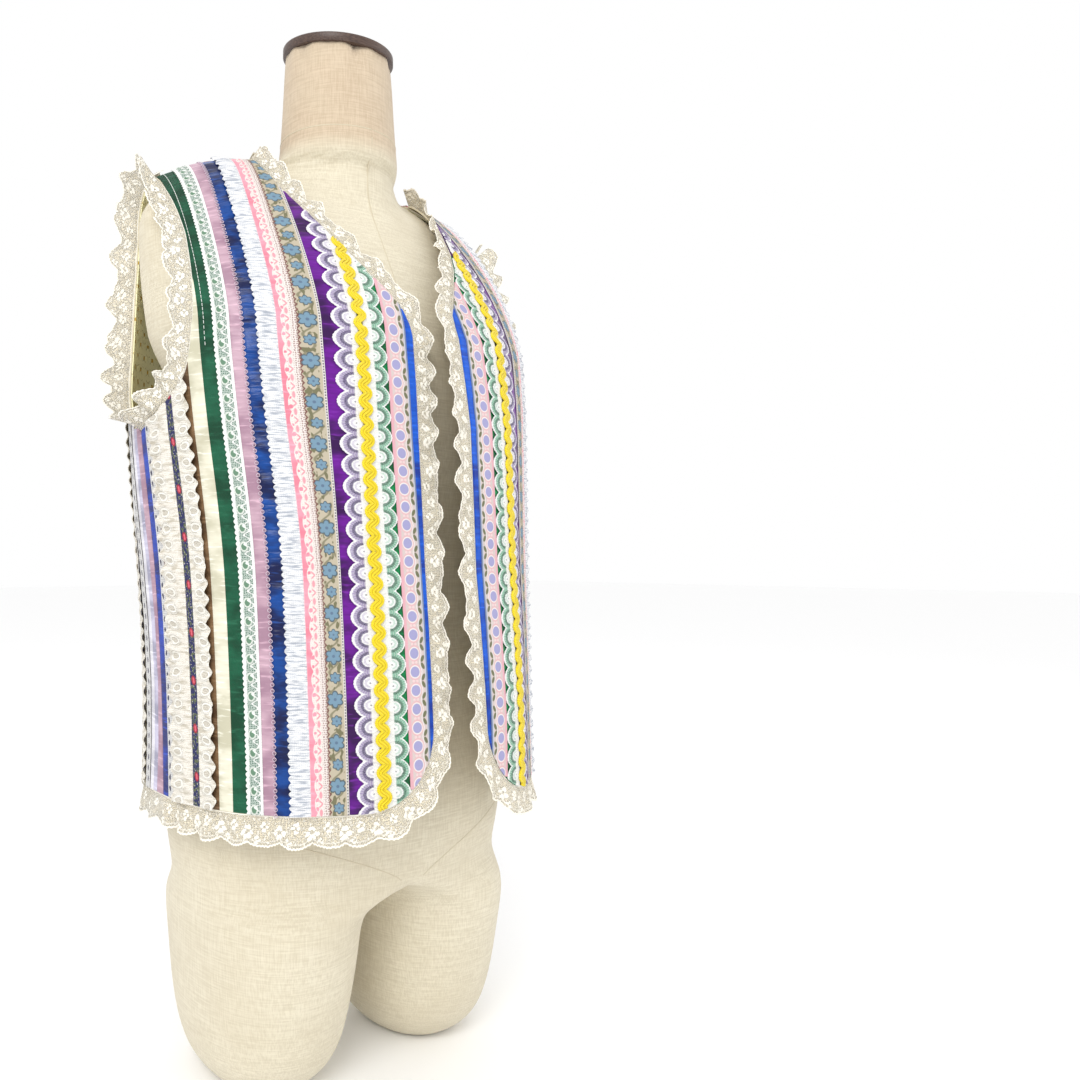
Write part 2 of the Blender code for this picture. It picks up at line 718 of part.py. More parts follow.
def edge_lace(name, edge, closed, widths, tilts, waves, turn, thick, colour):
    """Lace along an edge: widths, tilts off the cloth in degrees and standing-off of the free edge, one a station.
    Turn is 1 or -1 for the hand of the stations."""
    points = []
    count = len(edge.points)
    for number in range(count):
        base = edge.points[number]
        out = edge.outs[number]
        off = [turn * part for part in edge.offs[number]]
        tilt = math.radians(tilts[number])
        for reach, stand in ((SEAM, 0.0), (widths[number], waves[number])):
            for half in (-thick / 2, thick / 2):
                along_off = reach * math.cos(tilt) - (half if reach > SEAM else 0) * math.sin(tilt)
                along_out = (reach - SEAM) * math.sin(tilt) + stand + half * (math.cos(tilt) if reach > SEAM else 1)
                points.append([base[axis] + off[axis] * along_off + out[axis] * along_out for axis in range(3)])
    faces = []
    last = count if closed else count - 1
    for number in range(last):
        a = number * 4
        b = ((number + 1) % count) * 4
        faces += [[a, a + 1, b + 1, b], [a + 1, a + 3, b + 3, b + 1], [a + 3, a + 2, b + 2, b + 3],
                  [a + 2, a, b, b + 2]]
    if not closed:
        end = (count - 1) * 4
        faces += [[0, 2, 3, 1], [end, end + 1, end + 3, end + 2]]
    return add_object(name, points, faces, colour)


def chain(corners, step_at, closed=False):
    """Stations along straight runs between corner stations, about a step apart, and their lengths along.
    A station is a point, its outward direction and its height coordinate in a tuple of its own."""
    ring = corners + corners[:1] if closed else corners
    stations = [ring[0]]
    lengths = [0.0]
    for one, two in zip(ring, ring[1:]):
        size = math.dist(one[0], two[0])
        parts = max(1, round(size / step_at(one[2][0])))
        for number in range(1, parts + 1):
            share = number / parts
            mixed = [tuple(a + (b - a) * share for a, b in zip(p, q)) for p, q in zip(one, two)]
            stations.append((mixed[0], unit(mixed[1]), mixed[2]))
            lengths.append(lengths[-1] + size / parts)
    return stations, lengths


def swing(length, repeat):
    """Wave between 0 and 1 along a length."""
    return 0.5 - 0.5 * math.cos(2 * math.pi * length / repeat)


def front_corners(grid, side):
    """Cut edge of a front from the side seam along the hem, round the corner and up to the shoulder."""
    start = front_edge(side, HEM)
    places = [(SIDE_SEAM - SEAM, HEM)]
    columns = [strip_place(side, column) for column in reversed(PANEL_COLUMNS[:-1])]
    places += [(column, HEM) for column in columns if column > start + 0.002]
    places += [(front_edge(side, height), height) for height in front_heights()]
    return [edge_station(grid, side, strip, height) for strip, height in places]


def front_step(height):
    """How far apart the stations of a front's lace are."""
    return OPENING_STEP if HEM + CORNER_HEIGHT - 0.001 < height < 0.61 else HEM_REPEAT / 4


def front_lace(name, grid, side, colour):
    """Lace round the hem, opening and neck edge of one front."""
    stations, lengths = chain(front_corners(grid, side), front_step)
    widths, tilts, waves = [], [], []
    for (_, _, (height,)), length in zip(stations, lengths):
        neck = ease((height - 0.63) / 0.03)
        hem = ease((HEM + 0.03 - height) / 0.03)
        shoulder = ease((height - 0.74) / 0.08)
        opening = ease((height - 0.28) / 0.03) * (1 - neck)
        tuck = RIGHT_LIFT if side < 0 else -LEFT_TUCK
        widths.append(FRONT_LACE + (HEM_LACE - FRONT_LACE) * hem + (NECK_LACE - FRONT_LACE) * neck)
        tilts.append(4 + 56 * shoulder)
        waves.append(EDGE_WAVE * swing(length, HEM_REPEAT) * (1 - opening) + tuck * opening)
    return edge_lace(name, Edge(stations), False, widths, tilts, waves, side, LACE, colour)


def back_edge_lace(name, grid, places, width, tilt, turn, colour):
    """Lace along an edge that crosses the whole back, from its places on one half, outer first."""
    half = [edge_station(grid, 1, across, height) for across, height in places]
    other = [((-x, y, z), (-out_x, out_y, out_z), height) for (x, y, z), (out_x, out_y, out_z), height in half]
    stations, lengths = chain(other + half[-2::-1], lambda height: HEM_REPEAT / 4)
    waves = [EDGE_WAVE * swing(length, HEM_REPEAT) for length in lengths]
    count = len(stations)
    return edge_lace(name, Edge(stations), False, [width] * count, [tilt] * count, waves, turn, LACE, colour)


def back_hem_lace(name, grid, colour):
    """Lace along the back's hem."""
    outer = back_side_edge(HEM) - SEAM
    places = [(outer, HEM)] + [(column, HEM) for column in reversed(BACK_COLUMNS) if column < outer - 0.002]
    return back_edge_lace(name, grid, places, HEM_LACE, 6, 1, colour)


def back_neck_lace(name, grid, colour):
    """Lace round the back neck edge, standing up, its ends short of the fronts' laces."""
    places = [(back_neck_edge(height), height) for height in back_heights() if BACK_NECK[0][0] < height < TOP]
    places = [(back_neck_edge(NECK_LACE_TOP), NECK_LACE_TOP)] + places[::-1] + [(0.0, BACK_NECK[0][0])]
    return back_edge_lace(name, grid, places, NECK_LACE, 60, -1, colour)


def armhole_lace(name, front_grid, back_grid, side, colour):
    """Gathered lace all round one armhole, from the shoulder down the front and up the back."""
    low = ARMHOLE_FRONT[0][0]
    corners = [edge_station(front_grid, side, side_edge(height), height)
               for height in reversed(front_heights()) if height > low - 0.0001]
    corners += [edge_station(back_grid, side, back_side_edge(height), height)
                for height in back_heights() if height > low + 0.0001]
    stations, lengths = chain(corners, lambda height: ARMHOLE_REPEAT / 4, closed=True)
    stations.pop()
    total = lengths.pop()
    repeat = total / round(total / ARMHOLE_REPEAT)
    widths, tilts, waves = [], [], []
    for length in lengths:
        turn = length / total
        stand = ease((turn - 0.34) / 0.22) + ease((0.10 - turn) / 0.10)
        widths.append(ARMHOLE_LACE)
        tilts.append(12 + 66 * min(stand, 1.0))
        waves.append(ARMHOLE_WAVE * swing(length, repeat))
    edge = Edge(stations, closed=True)
    return edge_lace(name, edge, True, widths, tilts, waves, side, LACE, colour)


def profile(height_share, lean, climb):
    """How deep a profile still is at a share of its rise from the chest to the shoulder."""
    share = min(max(height_share, 0.0), 1.0)
    return (1 - share ** (2 / climb)) ** (lean / 2)


def form_shoulder(x):
    """Height of the form's shoulder line."""
    return ridge_height(x) - SHOULDER_DROP


def form_half_width(height):
    """Half width of the form's outline at a height."""
    if height <= OUTLINE[-1][0]:
        return between(OUTLINE, height, 1)
    low, high = 0.040, OUTLINE[-1][1]
    for _ in range(40):
        middle = (low + high) / 2
        if form_shoulder(middle) > height:
            low = middle
        else:
            high = middle
    return (low + high) / 2


def form_ring(height):
    """Points round the form at a height, from centre front toward +X."""
    points = []
    neck_width = between(NECK_RINGS, height, 1)
    neck_depth = between(NECK_RINGS, height, 2)
    above_shoulder = height > SHOULDER_HEIGHTS[-1] + 0.001
    half_width = neck_width if above_shoulder else form_half_width(height)
    for number in range(AROUND):
        turn = 2 * math.pi * number / AROUND
        x = half_width * math.sin(turn) if number % (AROUND // 2) else 0.0
        front = number <= AROUND // 4 or number >= AROUND - AROUND // 4
        share = min(abs(x) / half_width, 1.0)
        if above_shoulder:
            y = neck_depth * math.sqrt(max(1 - share * share, 0.0))
            points.append((x, -y if front else y, height))
            continue
        ring = (1 - share ** FORM_ROUND) ** (1 / FORM_ROUND) if share < 0.9999 else 0.0
        depth = between(DEPTHS, height, 1 if front else 2)
        middle = RIDGE_Y * ease((height - 0.56) / 0.1)
        if height > CHEST:
            rise = (height - CHEST) / (form_shoulder(x) - CHEST)
            lean, climb = (FRONT_LEAN, FRONT_LEAN) if front else (BACK_LEAN, BACK_CLIMB)
            depth *= profile(rise, lean, climb)
        body = depth * ring
        neck = 0.0
        if height > 0.64 and abs(x) < neck_width:
            neck = ease((height - 0.64) / 0.08) * neck_depth * math.sqrt(1 - (x / neck_width) ** 2)
        reach = (body ** NECK_BLEND + neck ** NECK_BLEND) ** (1 / NECK_BLEND)
        points.append((x, middle - reach if front else middle * 0.5 + reach, height))
    return points


def thigh_ring(side, row):
    """Points round one thigh, matching the torso's lower ring and then the line between the thighs."""
    height, centre, half_width, half_depth = row
    outer = AROUND // 2
    inner = CROTCH_POINTS + 1
    start = math.radians(50)
    turns = [start + (2 * math.pi - 2 * start) * number / outer for number in range(outer + 1)]
    turns += [-start + 2 * start * number / inner for number in range(1, inner)]
    points = []
    for turn in turns:
        across = math.cos(turn)
        along = math.sin(turn)
        size = (abs(across) ** THIGH_ROUND + abs(along) ** THIGH_ROUND) ** (-1 / THIGH_ROUND)
        x = side * (centre - half_width * across * size)
        points.append((x, THIGH_Y - half_depth * along * size, height))
    return points


def dress_form(name, colour):
    """The form: thighs, torso, shoulders and neck in one closed body."""
    heights = [row[0] for row in OUTLINE] + list(SHOULDER_HEIGHTS)
    heights += [row[0] for row in NECK_RINGS if row[0] > SHOULDER_HEIGHTS[-1]]
    points = []
    faces = []
    rings = []
    for height in heights:
        ring = form_ring(height)
        if height == heights[-1]:
            ring = [(x, y, height + NECK_TILT * y) for x, y, _ in ring]
        rings.append(list(range(len(points), len(points) + AROUND)))
        points += ring
    for low, high in zip(rings, rings[1:]):
        for number in range(AROUND):
            after = (number + 1) % AROUND
            faces.append([low[number], low[after], high[after], high[number]])
    faces.append(list(rings[-1]))
    bottom = rings[0]
    front_middle, back_middle = bottom[0], bottom[AROUND // 2]
    line = []
    for number in range(1, CROTCH_POINTS + 1):
        share = number / (CROTCH_POINTS + 1)
        y = points[back_middle][1] * (1 - share) + points[front_middle][1] * share
        line.append(len(points))
        points.append((0.0, y, CROTCH))
    half = AROUND // 2
    loops = {1: bottom[:half + 1] + line, -1: [bottom[-number] for number in range(half + 1)] + line}
    for side, loop in loops.items():
        for row in THIGHS:
            ring = list(range(len(points), len(points) + len(loop)))
            points += thigh_ring(side, row)
            for number in range(len(loop)):
                after = (number + 1) % len(loop)
                faces.append([loop[number], loop[after], ring[after], ring[number]])
            loop = ring
        faces.append(list(loop))
    return add_object(name, points, faces, colour)


def neck_cap(name, colour):
    """The flat cap on the form's sloping neck."""
    bottom = NECK_RINGS[-1][0] + SEAM
    levels = ((0.0, CAP_RADIUS), (CAP_HEIGHT - CAP_EDGE, CAP_RADIUS), (CAP_HEIGHT, CAP_RADIUS - CAP_EDGE))
    points = []
    for rise, radius in levels:
        for number in range(CAP_AROUND):
            turn = 2 * math.pi * number / CAP_AROUND
            y = radius * math.sin(turn)
            points.append((radius * math.cos(turn), y, bottom + rise + NECK_TILT * y))
    faces = [list(range(CAP_AROUND)), list(range(2 * CAP_AROUND, 3 * CAP_AROUND))]
    for level in range(2):
        for number in range(CAP_AROUND):
            after = (number + 1) % CAP_AROUND
            a = level * CAP_AROUND
            faces.append([a + number, a + after, a + CAP_AROUND + after, a + CAP_AROUND + number])
    return add_object(name, points, faces, colour)


def centre_on_floor():
    """Moves every piece so that the origin lies under the middle of the whole box."""
    ys = [vertex.co.y for item in bpy.data.objects for vertex in item.data.vertices]
    middle = round((min(ys) + max(ys)) / 2, 4)
    for item in bpy.data.objects:
        item.location.y = -middle


def main():
    """Builds every piece."""
    clear_scene()
    fronts = {-1: Grid(front_point, COLUMNS)}
    fronts[1] = Grid(left_front_point, [strip_place(1, column) for column in COLUMNS])
    back = Grid(back_point, BACK_COLUMNS)
    dress_form("form_body", "linen")
    neck_cap("form_neck_cap", "cap_brown")
    back_layer("back", back, 0.0, -CLOTH, CLOTH, "cream_cloth")
    back_layer("back_lining", back, 0.001, -CLOTH - SEAM - LINING, LINING, "yellow_print")
    back_centre("back_centre_ribbon", back, BACK_GROUPS[0][1] - SEAM / 2, "yellow")
    back_neck_lace("back_neck_lace", back, "cream_lace")
    back_hem_lace("back_hem_lace", back, "cream_lace")
    for side, word in ((-1, "right"), (1, "left")):
        front_panel(word + "_front", fronts[side], side)
        front_lace(word + "_front_lace", fronts[side], side, "cream_lace")
        armhole_lace(word + "_armhole_lace", fronts[side], back, side, "cream_lace")
        for row in TRIMS:
            front_trim(word + "_" + row[0], fronts[side], side, row)
        for group, start, end, colour in BACK_GROUPS:
            back_group(word + "_" + group, back, side, start, end, colour)
    centre_on_floor()


main()
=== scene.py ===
"""A patchwork vest of ribbons, braids and laces on a limbless linen-covered dress form."""

import math

import bmesh
import bpy
import numpy as np
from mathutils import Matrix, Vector
from mathutils.bvhtree import BVHTree


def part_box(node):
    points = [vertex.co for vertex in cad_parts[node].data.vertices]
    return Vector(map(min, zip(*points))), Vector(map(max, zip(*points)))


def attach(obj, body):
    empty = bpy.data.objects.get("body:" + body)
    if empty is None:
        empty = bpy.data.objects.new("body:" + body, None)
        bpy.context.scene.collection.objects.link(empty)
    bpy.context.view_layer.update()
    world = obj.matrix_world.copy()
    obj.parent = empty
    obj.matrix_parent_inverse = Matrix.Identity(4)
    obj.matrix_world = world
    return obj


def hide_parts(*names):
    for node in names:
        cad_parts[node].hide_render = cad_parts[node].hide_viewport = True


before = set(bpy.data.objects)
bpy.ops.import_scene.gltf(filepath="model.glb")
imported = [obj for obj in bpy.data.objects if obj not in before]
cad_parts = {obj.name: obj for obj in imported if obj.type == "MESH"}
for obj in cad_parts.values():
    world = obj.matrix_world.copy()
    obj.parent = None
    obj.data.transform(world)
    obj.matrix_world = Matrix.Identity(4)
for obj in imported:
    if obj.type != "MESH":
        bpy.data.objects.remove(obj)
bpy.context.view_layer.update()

# Body of the dress form
# A hard torso with short thighs, covered with pale linen that was stretched over it and sewn together.
# The solid's rings are smoothed, and the linen has a fine plain weave with thicker threads here and there.


def srgb(red, green, blue):
    """Colour from screen values of 0 to 255."""
    parts = [value / 255 for value in (red, green, blue)]
    return tuple(p / 12.92 if p < 0.04045 else ((p + 0.055) / 1.055) ** 2.4 for p in parts) + (1.0,)


class Link:
    """A number carried by a shader socket. Arithmetic on it adds Math nodes."""

    def __init__(self, finish, socket):
        self.finish = finish
        self.socket = socket

    def __add__(self, other):
        return self.finish.math("ADD", self, other)

    __radd__ = __add__

    def __sub__(self, other):
        return self.finish.math("SUBTRACT", self, other)

    def __rsub__(self, other):
        return self.finish.math("SUBTRACT", other, self)

    def __mul__(self, other):
        return self.finish.math("MULTIPLY", self, other)

    __rmul__ = __mul__

    def __truediv__(self, other):
        return self.finish.math("DIVIDE", self, other)


class Finish:
    """A material under construction."""

    def __init__(self, name, rough=0.7, sheen=0.0, anisotropic=0.0, shine=0.5):
        self.material = bpy.data.materials.new(name)
        self.material.use_nodes = True
        self.tree = self.material.node_tree
        self.shader = self.tree.nodes["Principled BSDF"]
        self.shader.inputs["Roughness"].default_value = rough
        self.shader.inputs["Sheen Weight"].default_value = sheen
        self.shader.inputs["Anisotropic"].default_value = anisotropic
        self.shader.inputs["Specular IOR Level"].default_value = shine

    def feed(self, socket, value):
        """Links a value to a socket, or sets it there."""
        if isinstance(value, Link):
            self.tree.links.new(value.socket, socket)
        else:
            socket.default_value = value

    def node(self, kind, settings, sockets, output=0):
        """Any shader node: its settings first, then the values or links of its sockets."""
        made = self.tree.nodes.new("ShaderNode" + kind)
        for name, value in settings.items():
            setattr(made, name, value)
        for key, value in sockets.items():
            self.feed(made.inputs[key], value)
        return Link(self, made.outputs[output])

    def math(self, operation, one, two=0.0):
        """One Math node."""
        return self.node("Math", {"operation": operation}, {0: one, 1: two})

    def split(self, vector):
        """The three numbers of a vector."""
        parts = self.node("SeparateXYZ", {}, {0: vector}).socket.node
        return [Link(self, parts.outputs[k]) for k in range(3)]

    def join(self, x, y, z=0.0):
        """A vector from three numbers."""
        return self.node("CombineXYZ", {}, {0: x, 1: y, 2: z})

    def cloth(self):
        """Place on the cloth in millimetres: across the strip, and up or along it."""
        x, y, _ = self.split(self.node("UVMap", {"uv_map": "cloth"}, {}))
        return x * 1000, y * 1000

    def room(self):
        """Place in the object in millimetres."""
        return [part * 1000 for part in self.split(self.node("TexCoord", {}, {}, 3))]

    def step(self, value, low, high):
        """0 at low, 1 at high, smooth between."""
        return self.node("MapRange", {"interpolation_type": "SMOOTHSTEP"},
                         {"Value": value, "From Min": low, "From Max": high})

    def near(self, value, period):
        """Distance to the nearest multiple of a period."""
        return self.math("PINGPONG", value, period / 2)

    def disc(self, x, y, half_x, half_y, soft=0.15):
        """1 inside an oval round 0, 0."""
        far = self.math("SQRT", x / half_x * (x / half_x) + y / half_y * (y / half_y))
        return self.step(far, 1 + soft, 1 - soft)

    def bar(self, x, half, soft=0.2):
        """1 within a half width of 0."""
        return self.step(self.math("ABSOLUTE", x), half + soft, half - soft)

    def most(self, one, two):
        """The larger of two numbers."""
        return self.math("MAXIMUM", one, two)

    def noise(self, vector, scale, detail=2.0):
        """Smooth noise about 0.5."""
        return self.node("TexNoise", {}, {"Vector": vector, "Scale": scale, "Detail": detail})

    def net(self, x, y, pitch, thread=0.10):
        """1 in the holes of a net with cells of a pitch, 0 on its threads."""
        cells = self.node("TexVoronoi", {"feature": "DISTANCE_TO_EDGE", "voronoi_dimensions": "2D"},
                          {"Vector": self.join(x, y), "Scale": 1 / pitch, "Randomness": 0.55})
        return self.step(cells, thread, thread + 0.09)

    def mix(self, factor, one, two):
        """Colour one at 0, two at 1."""
        return self.node("Mix", {"data_type": "RGBA"}, {0: factor, 6: one, 7: two}, 2)

    def done(self, colour, height=None, depth=0.0005, alpha=None):
        """Links the parts to the shader. Height runs from 0 to 1 over the depth."""
        self.feed(self.shader.inputs["Base Color"], colour)
        if height is not None:
            bump = self.node("Bump", {}, {"Height": height, "Distance": depth, "Strength": 1.0})
            self.feed(self.shader.inputs["Normal"], bump)
        if alpha is not None:
            self.feed(self.shader.inputs["Alpha"], alpha)
        return self.material


def dress(piece, material, slot, *nodes):
    """Gives a finished piece its material and its place in the frame."""
    piece.data.materials.clear()
    piece.data.materials.append(material)
    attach(piece, "root")
    if nodes:
        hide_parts(*nodes)
    return piece


def linen():
    """Plain-woven linen with slubs, and painted shade on the neck."""
    made = Finish("linen_weave", rough=0.85, sheen=0.15)
    x, y, z = made.room()
    around = x + y
    warp = made.math("SINE", around * 7.0) * 0.5 + 0.5
    weft = made.math("SINE", z * 7.0) * 0.5 + 0.5
    slub = made.noise(made.join(x * 0.9, y * 0.9, z * 0.05), 1.0, 3.0)
    cross = made.noise(made.join(x * 0.05, y * 0.05, z * 0.9), 1.0, 3.0)
    blotch = made.noise(made.join(x, y, z), 0.012, 2.0)
    thread = slub * 0.5 + cross * 0.5
    body = made.mix(made.step(thread, 0.35, 0.65), srgb(206, 196, 172), srgb(224, 216, 194))
    # The neck's darker, pinker tone above 790 to 812 mm is painted shade.
    neck = made.mix(made.step(thread, 0.35, 0.65), srgb(188, 168, 142), srgb(206, 187, 162))
    tone = made.mix(made.step(z, 790.0, 812.0), body, neck)
    tone = made.mix(made.step(blotch, 0.35, 0.75) * 0.35, tone, srgb(198, 186, 160))
    return made.done(tone, thread * 0.7 + (warp + weft) * 0.15, 0.0004)


CAP_TILT = 0.138         # the neck's top and the cap lean down to the front
NECK_TOP = 0.895         # height of the neck's rim on its axis
NECK_Y = 0.0219          # the axis, back of the middle


def smoothed(node, name, levels):
    """Copy of a CAD node, its loose triangles merged into quads and subdivided."""
    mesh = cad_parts[node].data.copy()
    work = bmesh.new()
    work.from_mesh(mesh)
    bmesh.ops.remove_doubles(work, verts=work.verts[:], dist=0.00001)
    bmesh.ops.join_triangles(work, faces=work.faces[:], angle_face_threshold=0.9, angle_shape_threshold=0.9)
    work.to_mesh(mesh)
    work.free()
    made = bpy.data.objects.new(name, mesh)
    bpy.context.scene.collection.objects.link(made)
    first = np.array([vertex.co for vertex in mesh.vertices])
    smooth = made.modifiers.new("smooth", "SUBSURF")
    smooth.levels = 1
    shrunk = made.evaluated_get(bpy.context.evaluated_depsgraph_get()).data.vertices
    for vertex, place in zip(mesh.vertices, first):
        share = float(np.clip((0.80 - place[2]) / 0.03, 0, 1))
        vertex.co = Vector(place) + (Vector(place) - shrunk[vertex.index].co) * share
    smooth.levels = levels
    bpy.context.view_layer.update()
    smooth.render_levels = levels
    flat = bpy.data.meshes.new_from_object(made.evaluated_get(bpy.context.evaluated_depsgraph_get()))
    made.modifiers.clear()
    made.data = flat
    flat.name = name
    for vertex in flat.vertices:           # the neck's rim goes up into the cap, so the cap's edge is clean
        rise = vertex.co.z - (NECK_TOP - 0.012 + CAP_TILT * (vertex.co.y - NECK_Y))
        vertex.co.z += 0.0045 * float(np.clip(rise / 0.012, 0, 1))
    flat.shade_smooth()
    return made


torso = dress(smoothed("form_body", "torso", 2), linen(), "linen", "form_body")

# Cap on the neck
# A turned wooden cap, stained dark brown, with a thin darker line where it meets the linen.


def stained_wood():
    """Dark satin stain with a faint straight grain."""
    made = Finish("stained_wood", rough=0.42)
    x, y, z = made.room()
    grain = made.noise(made.join(x * 0.03, y * 0.9, z * 0.9), 1.0, 4.0)
    tone = made.mix(made.step(grain, 0.3, 0.7), srgb(60, 44, 38), srgb(88, 68, 58))
    return made.done(tone, grain, 0.0002)


cap_low, cap_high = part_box("form_neck_cap")
AXIS_Y = (cap_low.y + cap_high.y) / 2      # the neck's axis; every size below is measured from it
CAP_RADIUS = (cap_high.x - cap_low.x) / 2


def turned_cap(tilt, tall, edge):
    """Round cap turned to the CAD's radius, height and lean, with its upper edge rounded."""
    profile = [(0.0, 0.0), (CAP_RADIUS - 0.0006, 0.0), (CAP_RADIUS, 0.0006), (CAP_RADIUS, tall - edge)]
    profile += [(CAP_RADIUS - edge * (1 - math.cos(turn)), tall - edge + edge * math.sin(turn))
                for turn in np.radians((22, 45, 68, 90))]
    profile.append((0.0, tall))
    around = 96
    turns = [2 * math.pi * number / around for number in range(around)]
    bottom = cap_low.z + tilt * CAP_RADIUS
    points = []
    for radius, rise in profile[1:-1]:
        for turn in turns:
            lean = tilt * radius * math.sin(turn)
            points.append((radius * math.cos(turn), AXIS_Y + radius * math.sin(turn), bottom + rise + lean))
    faces = [list(range(around))[::-1], list(range(len(points) - around, len(points)))]
    for level in range(len(profile) - 3):
        for number in range(around):
            here, after = level * around + number, level * around + (number + 1) % around
            faces.append([here, after, after + around, here + around])
    mesh = bpy.data.meshes.new("neck_cap")
    mesh.from_pydata(points, [], faces)
    mesh.shade_smooth()
    made = bpy.data.objects.new("neck_cap", mesh)
    bpy.context.scene.collection.objects.link(made)
    return made


CAP_TALL = 0.0080
CAP_EDGE = 0.0015        # radius of the upper edge
dress(turned_cap(CAP_TILT, CAP_TALL, CAP_EDGE), stained_wood(), "cap_brown", "form_neck_cap")

# Cloth of the two fronts and the back
# Plain cream cotton, cut to the shape that every strip is sewn on. It shows only in thin lines between them.

CHEST = 0.620            # above this height the cloth leans back to the shoulder seam
HEM = 0.250
RISE = 0.220             # height coordinate from the chest line to the shoulder seam
RIDGE = CHEST + RISE
RIDGE_Y = 0.008
DART = 0.011             # the purple panel widens this much over the chest
SIDE_SEAM = 0.262        # length from centre front to the side seam
CORNER = (0.062, 0.060)  # width and height of the rounded lower corners
SEAM = 0.0003
PITCH = 0.0012           # rows of a finely made strip
SECTIONS = np.array((
    # height, half_width, front_depth, back_depth
    (0.215, 0.1757, 0.1565, 0.1225),
    (0.250, 0.1750, 0.1550, 0.1210),
    (0.290, 0.1745, 0.1530, 0.1190),
    (0.340, 0.1750, 0.1500, 0.1180),
    (0.390, 0.1770, 0.1460, 0.1180),
    (0.440, 0.1800, 0.1410, 0.1200),
    (0.490, 0.1840, 0.1360, 0.1220),
    (0.535, 0.1870, 0.1310, 0.1240),
    (0.580, 0.1890, 0.1270, 0.1250),
    (0.620, 0.1890, 0.1220, 0.1250),
))
OPENINGS = {
    # side: height and strip place of the front's cut edge, from the corner up to the neck point
    -1: np.array(((0.310, 0.0165), (0.430, 0.0165), (0.545, 0.0140), (0.620, 0.0130), (0.640, 0.0146),
                  (0.655, 0.0184), (0.672, 0.0312), (0.690, 0.0485), (0.706, 0.0635), (0.725, 0.0762),
                  (0.760, 0.0918), (0.795, 0.0985), (0.840, 0.1011))),
    1: np.array(((0.310, 0.0285), (0.430, 0.0265), (0.545, 0.0270), (0.620, 0.0250), (0.640, 0.0255),
                 (0.655, 0.0275), (0.672, 0.0375), (0.690, 0.0505), (0.706, 0.0640), (0.725, 0.0762),
                 (0.760, 0.0918), (0.795, 0.0985), (0.840, 0.1011))),
}
ARMHOLE_FRONT = np.array((
    # height, strip place
    (0.5450, 0.2620), (0.5520, 0.2360), (0.5640, 0.2155), (0.5745, 0.2005), (0.5850, 0.1935),
    (0.6040, 0.1872), (0.6200, 0.1850), (0.6550, 0.1818), (0.6900, 0.1788), (0.7250, 0.1766),
    (0.7600, 0.1780), (0.7950, 0.1798), (0.8400, 0.1812),
))
ARMHOLE_BACK = np.array((
    # height, distance from centre back
    (0.5450, 0.2500), (0.5520, 0.2300), (0.5640, 0.2170), (0.5850, 0.2020), (0.6200, 0.1890),
    (0.6550, 0.1820), (0.6900, 0.1770), (0.7250, 0.1745), (0.7950, 0.1755), (0.8400, 0.1785),
))
BACK_NECK = np.array((
    # height, distance from centre back
    (0.7900, 0.0000), (0.7950, 0.0290), (0.8060, 0.0510), (0.8200, 0.0690), (0.8400, 0.0895),
))
LEFT_FLARE = np.array((
    # height, how far the left front's free edge stands forward
    (0.250, 0.0120), (0.310, 0.0140), (0.430, 0.0130), (0.545, 0.0180), (0.620, 0.0140), (0.660, 0.0090),
    (0.700, 0.0040), (0.740, 0.0000),
))
LEFT_SHIFT = 0.012       # the left front's strips lie this much further from centre front


def ease(value):
    """Smooth step from 0 to 1."""
    value = np.clip(value, 0.0, 1.0)
    return value * value * (3 - 2 * value)


def shoulder_height(x):
    """Height of the shoulder seam over a distance from the middle."""
    share = (np.abs(x) - 0.0895) / 0.089
    inside = 0.787 + 0.008 * (1 - np.exp(np.minimum(np.abs(x) - 0.0895, 0) / 0.020))
    swell = np.where(share < 1, 0.005 * np.sin(math.pi * np.clip(share, 0, 1)), 0.0)
    return np.where(share < 0, inside, 0.787 - 0.036 * share + swell)


half_sections = {}


def half_section(height):
    """Lengths round half of a horizontal section from centre front, and its points."""
    key = round(float(height), 5)
    if key not in half_sections:
        half_width, front, back = (np.interp(key, SECTIONS[:, 0], SECTIONS[:, k]) for k in (1, 2, 3))
        turn = np.linspace(0, math.pi, 401)
        along = np.cos(turn)
        xs = half_width * np.abs(np.sin(turn)) ** 0.86
        ys = np.where(along > 0, -front * np.abs(along) ** 0.86, back * np.abs(along) ** 0.72)
        lengths = np.concatenate([[0], np.cumsum(np.hypot(np.diff(xs), np.diff(ys)))])
        half_sections[key] = (lengths, xs, ys)
    return half_sections[key]


def surface(chart, places, heights):
    """Points of the cloth, a row for each height. Chart -1 or 1 is a front, 0 the back on its +X side."""
    points = np.zeros(places.shape + (3,))
    for row, height in enumerate(heights):
        lengths, xs, ys = half_section(min(height, CHEST))
        place = np.abs(places[row])
        spread = place + DART * ease((place - 0.068) / 0.05) * ease((height - 0.42) / 0.20)
        spread = lengths[-1] - place if chart == 0 else spread
        x, y, z = np.interp(spread, lengths, xs), np.interp(spread, lengths, ys), height
        if height > CHEST:
            turn = min((height - CHEST) / RISE, 1.0) * math.pi / 2
            climb = math.sin(turn) ** (0.9 if chart == 0 else 1.5)
            seam_x = place if chart == 0 else 0.109 + 1.11 * (place - 0.1187)
            x = x + (seam_x - x) * climb ** 3
            y = RIDGE_Y + (y - RIDGE_Y) * max(math.cos(turn), 0.0) ** (0.6 if chart == 0 else 1.5)
            z = CHEST + (shoulder_height(x) - CHEST) * climb
        if chart == 1:
            flare = np.interp(height, LEFT_FLARE[:, 0], LEFT_FLARE[:, 1])
            y = y - flare * (1 - ease((place - 0.050) / 0.095))
        points[row, :, 0] = x * np.where(places[row] < 0, -1, 1)
        points[row, :, 1] = y + AXIS_Y
        points[row, :, 2] = z
    return points


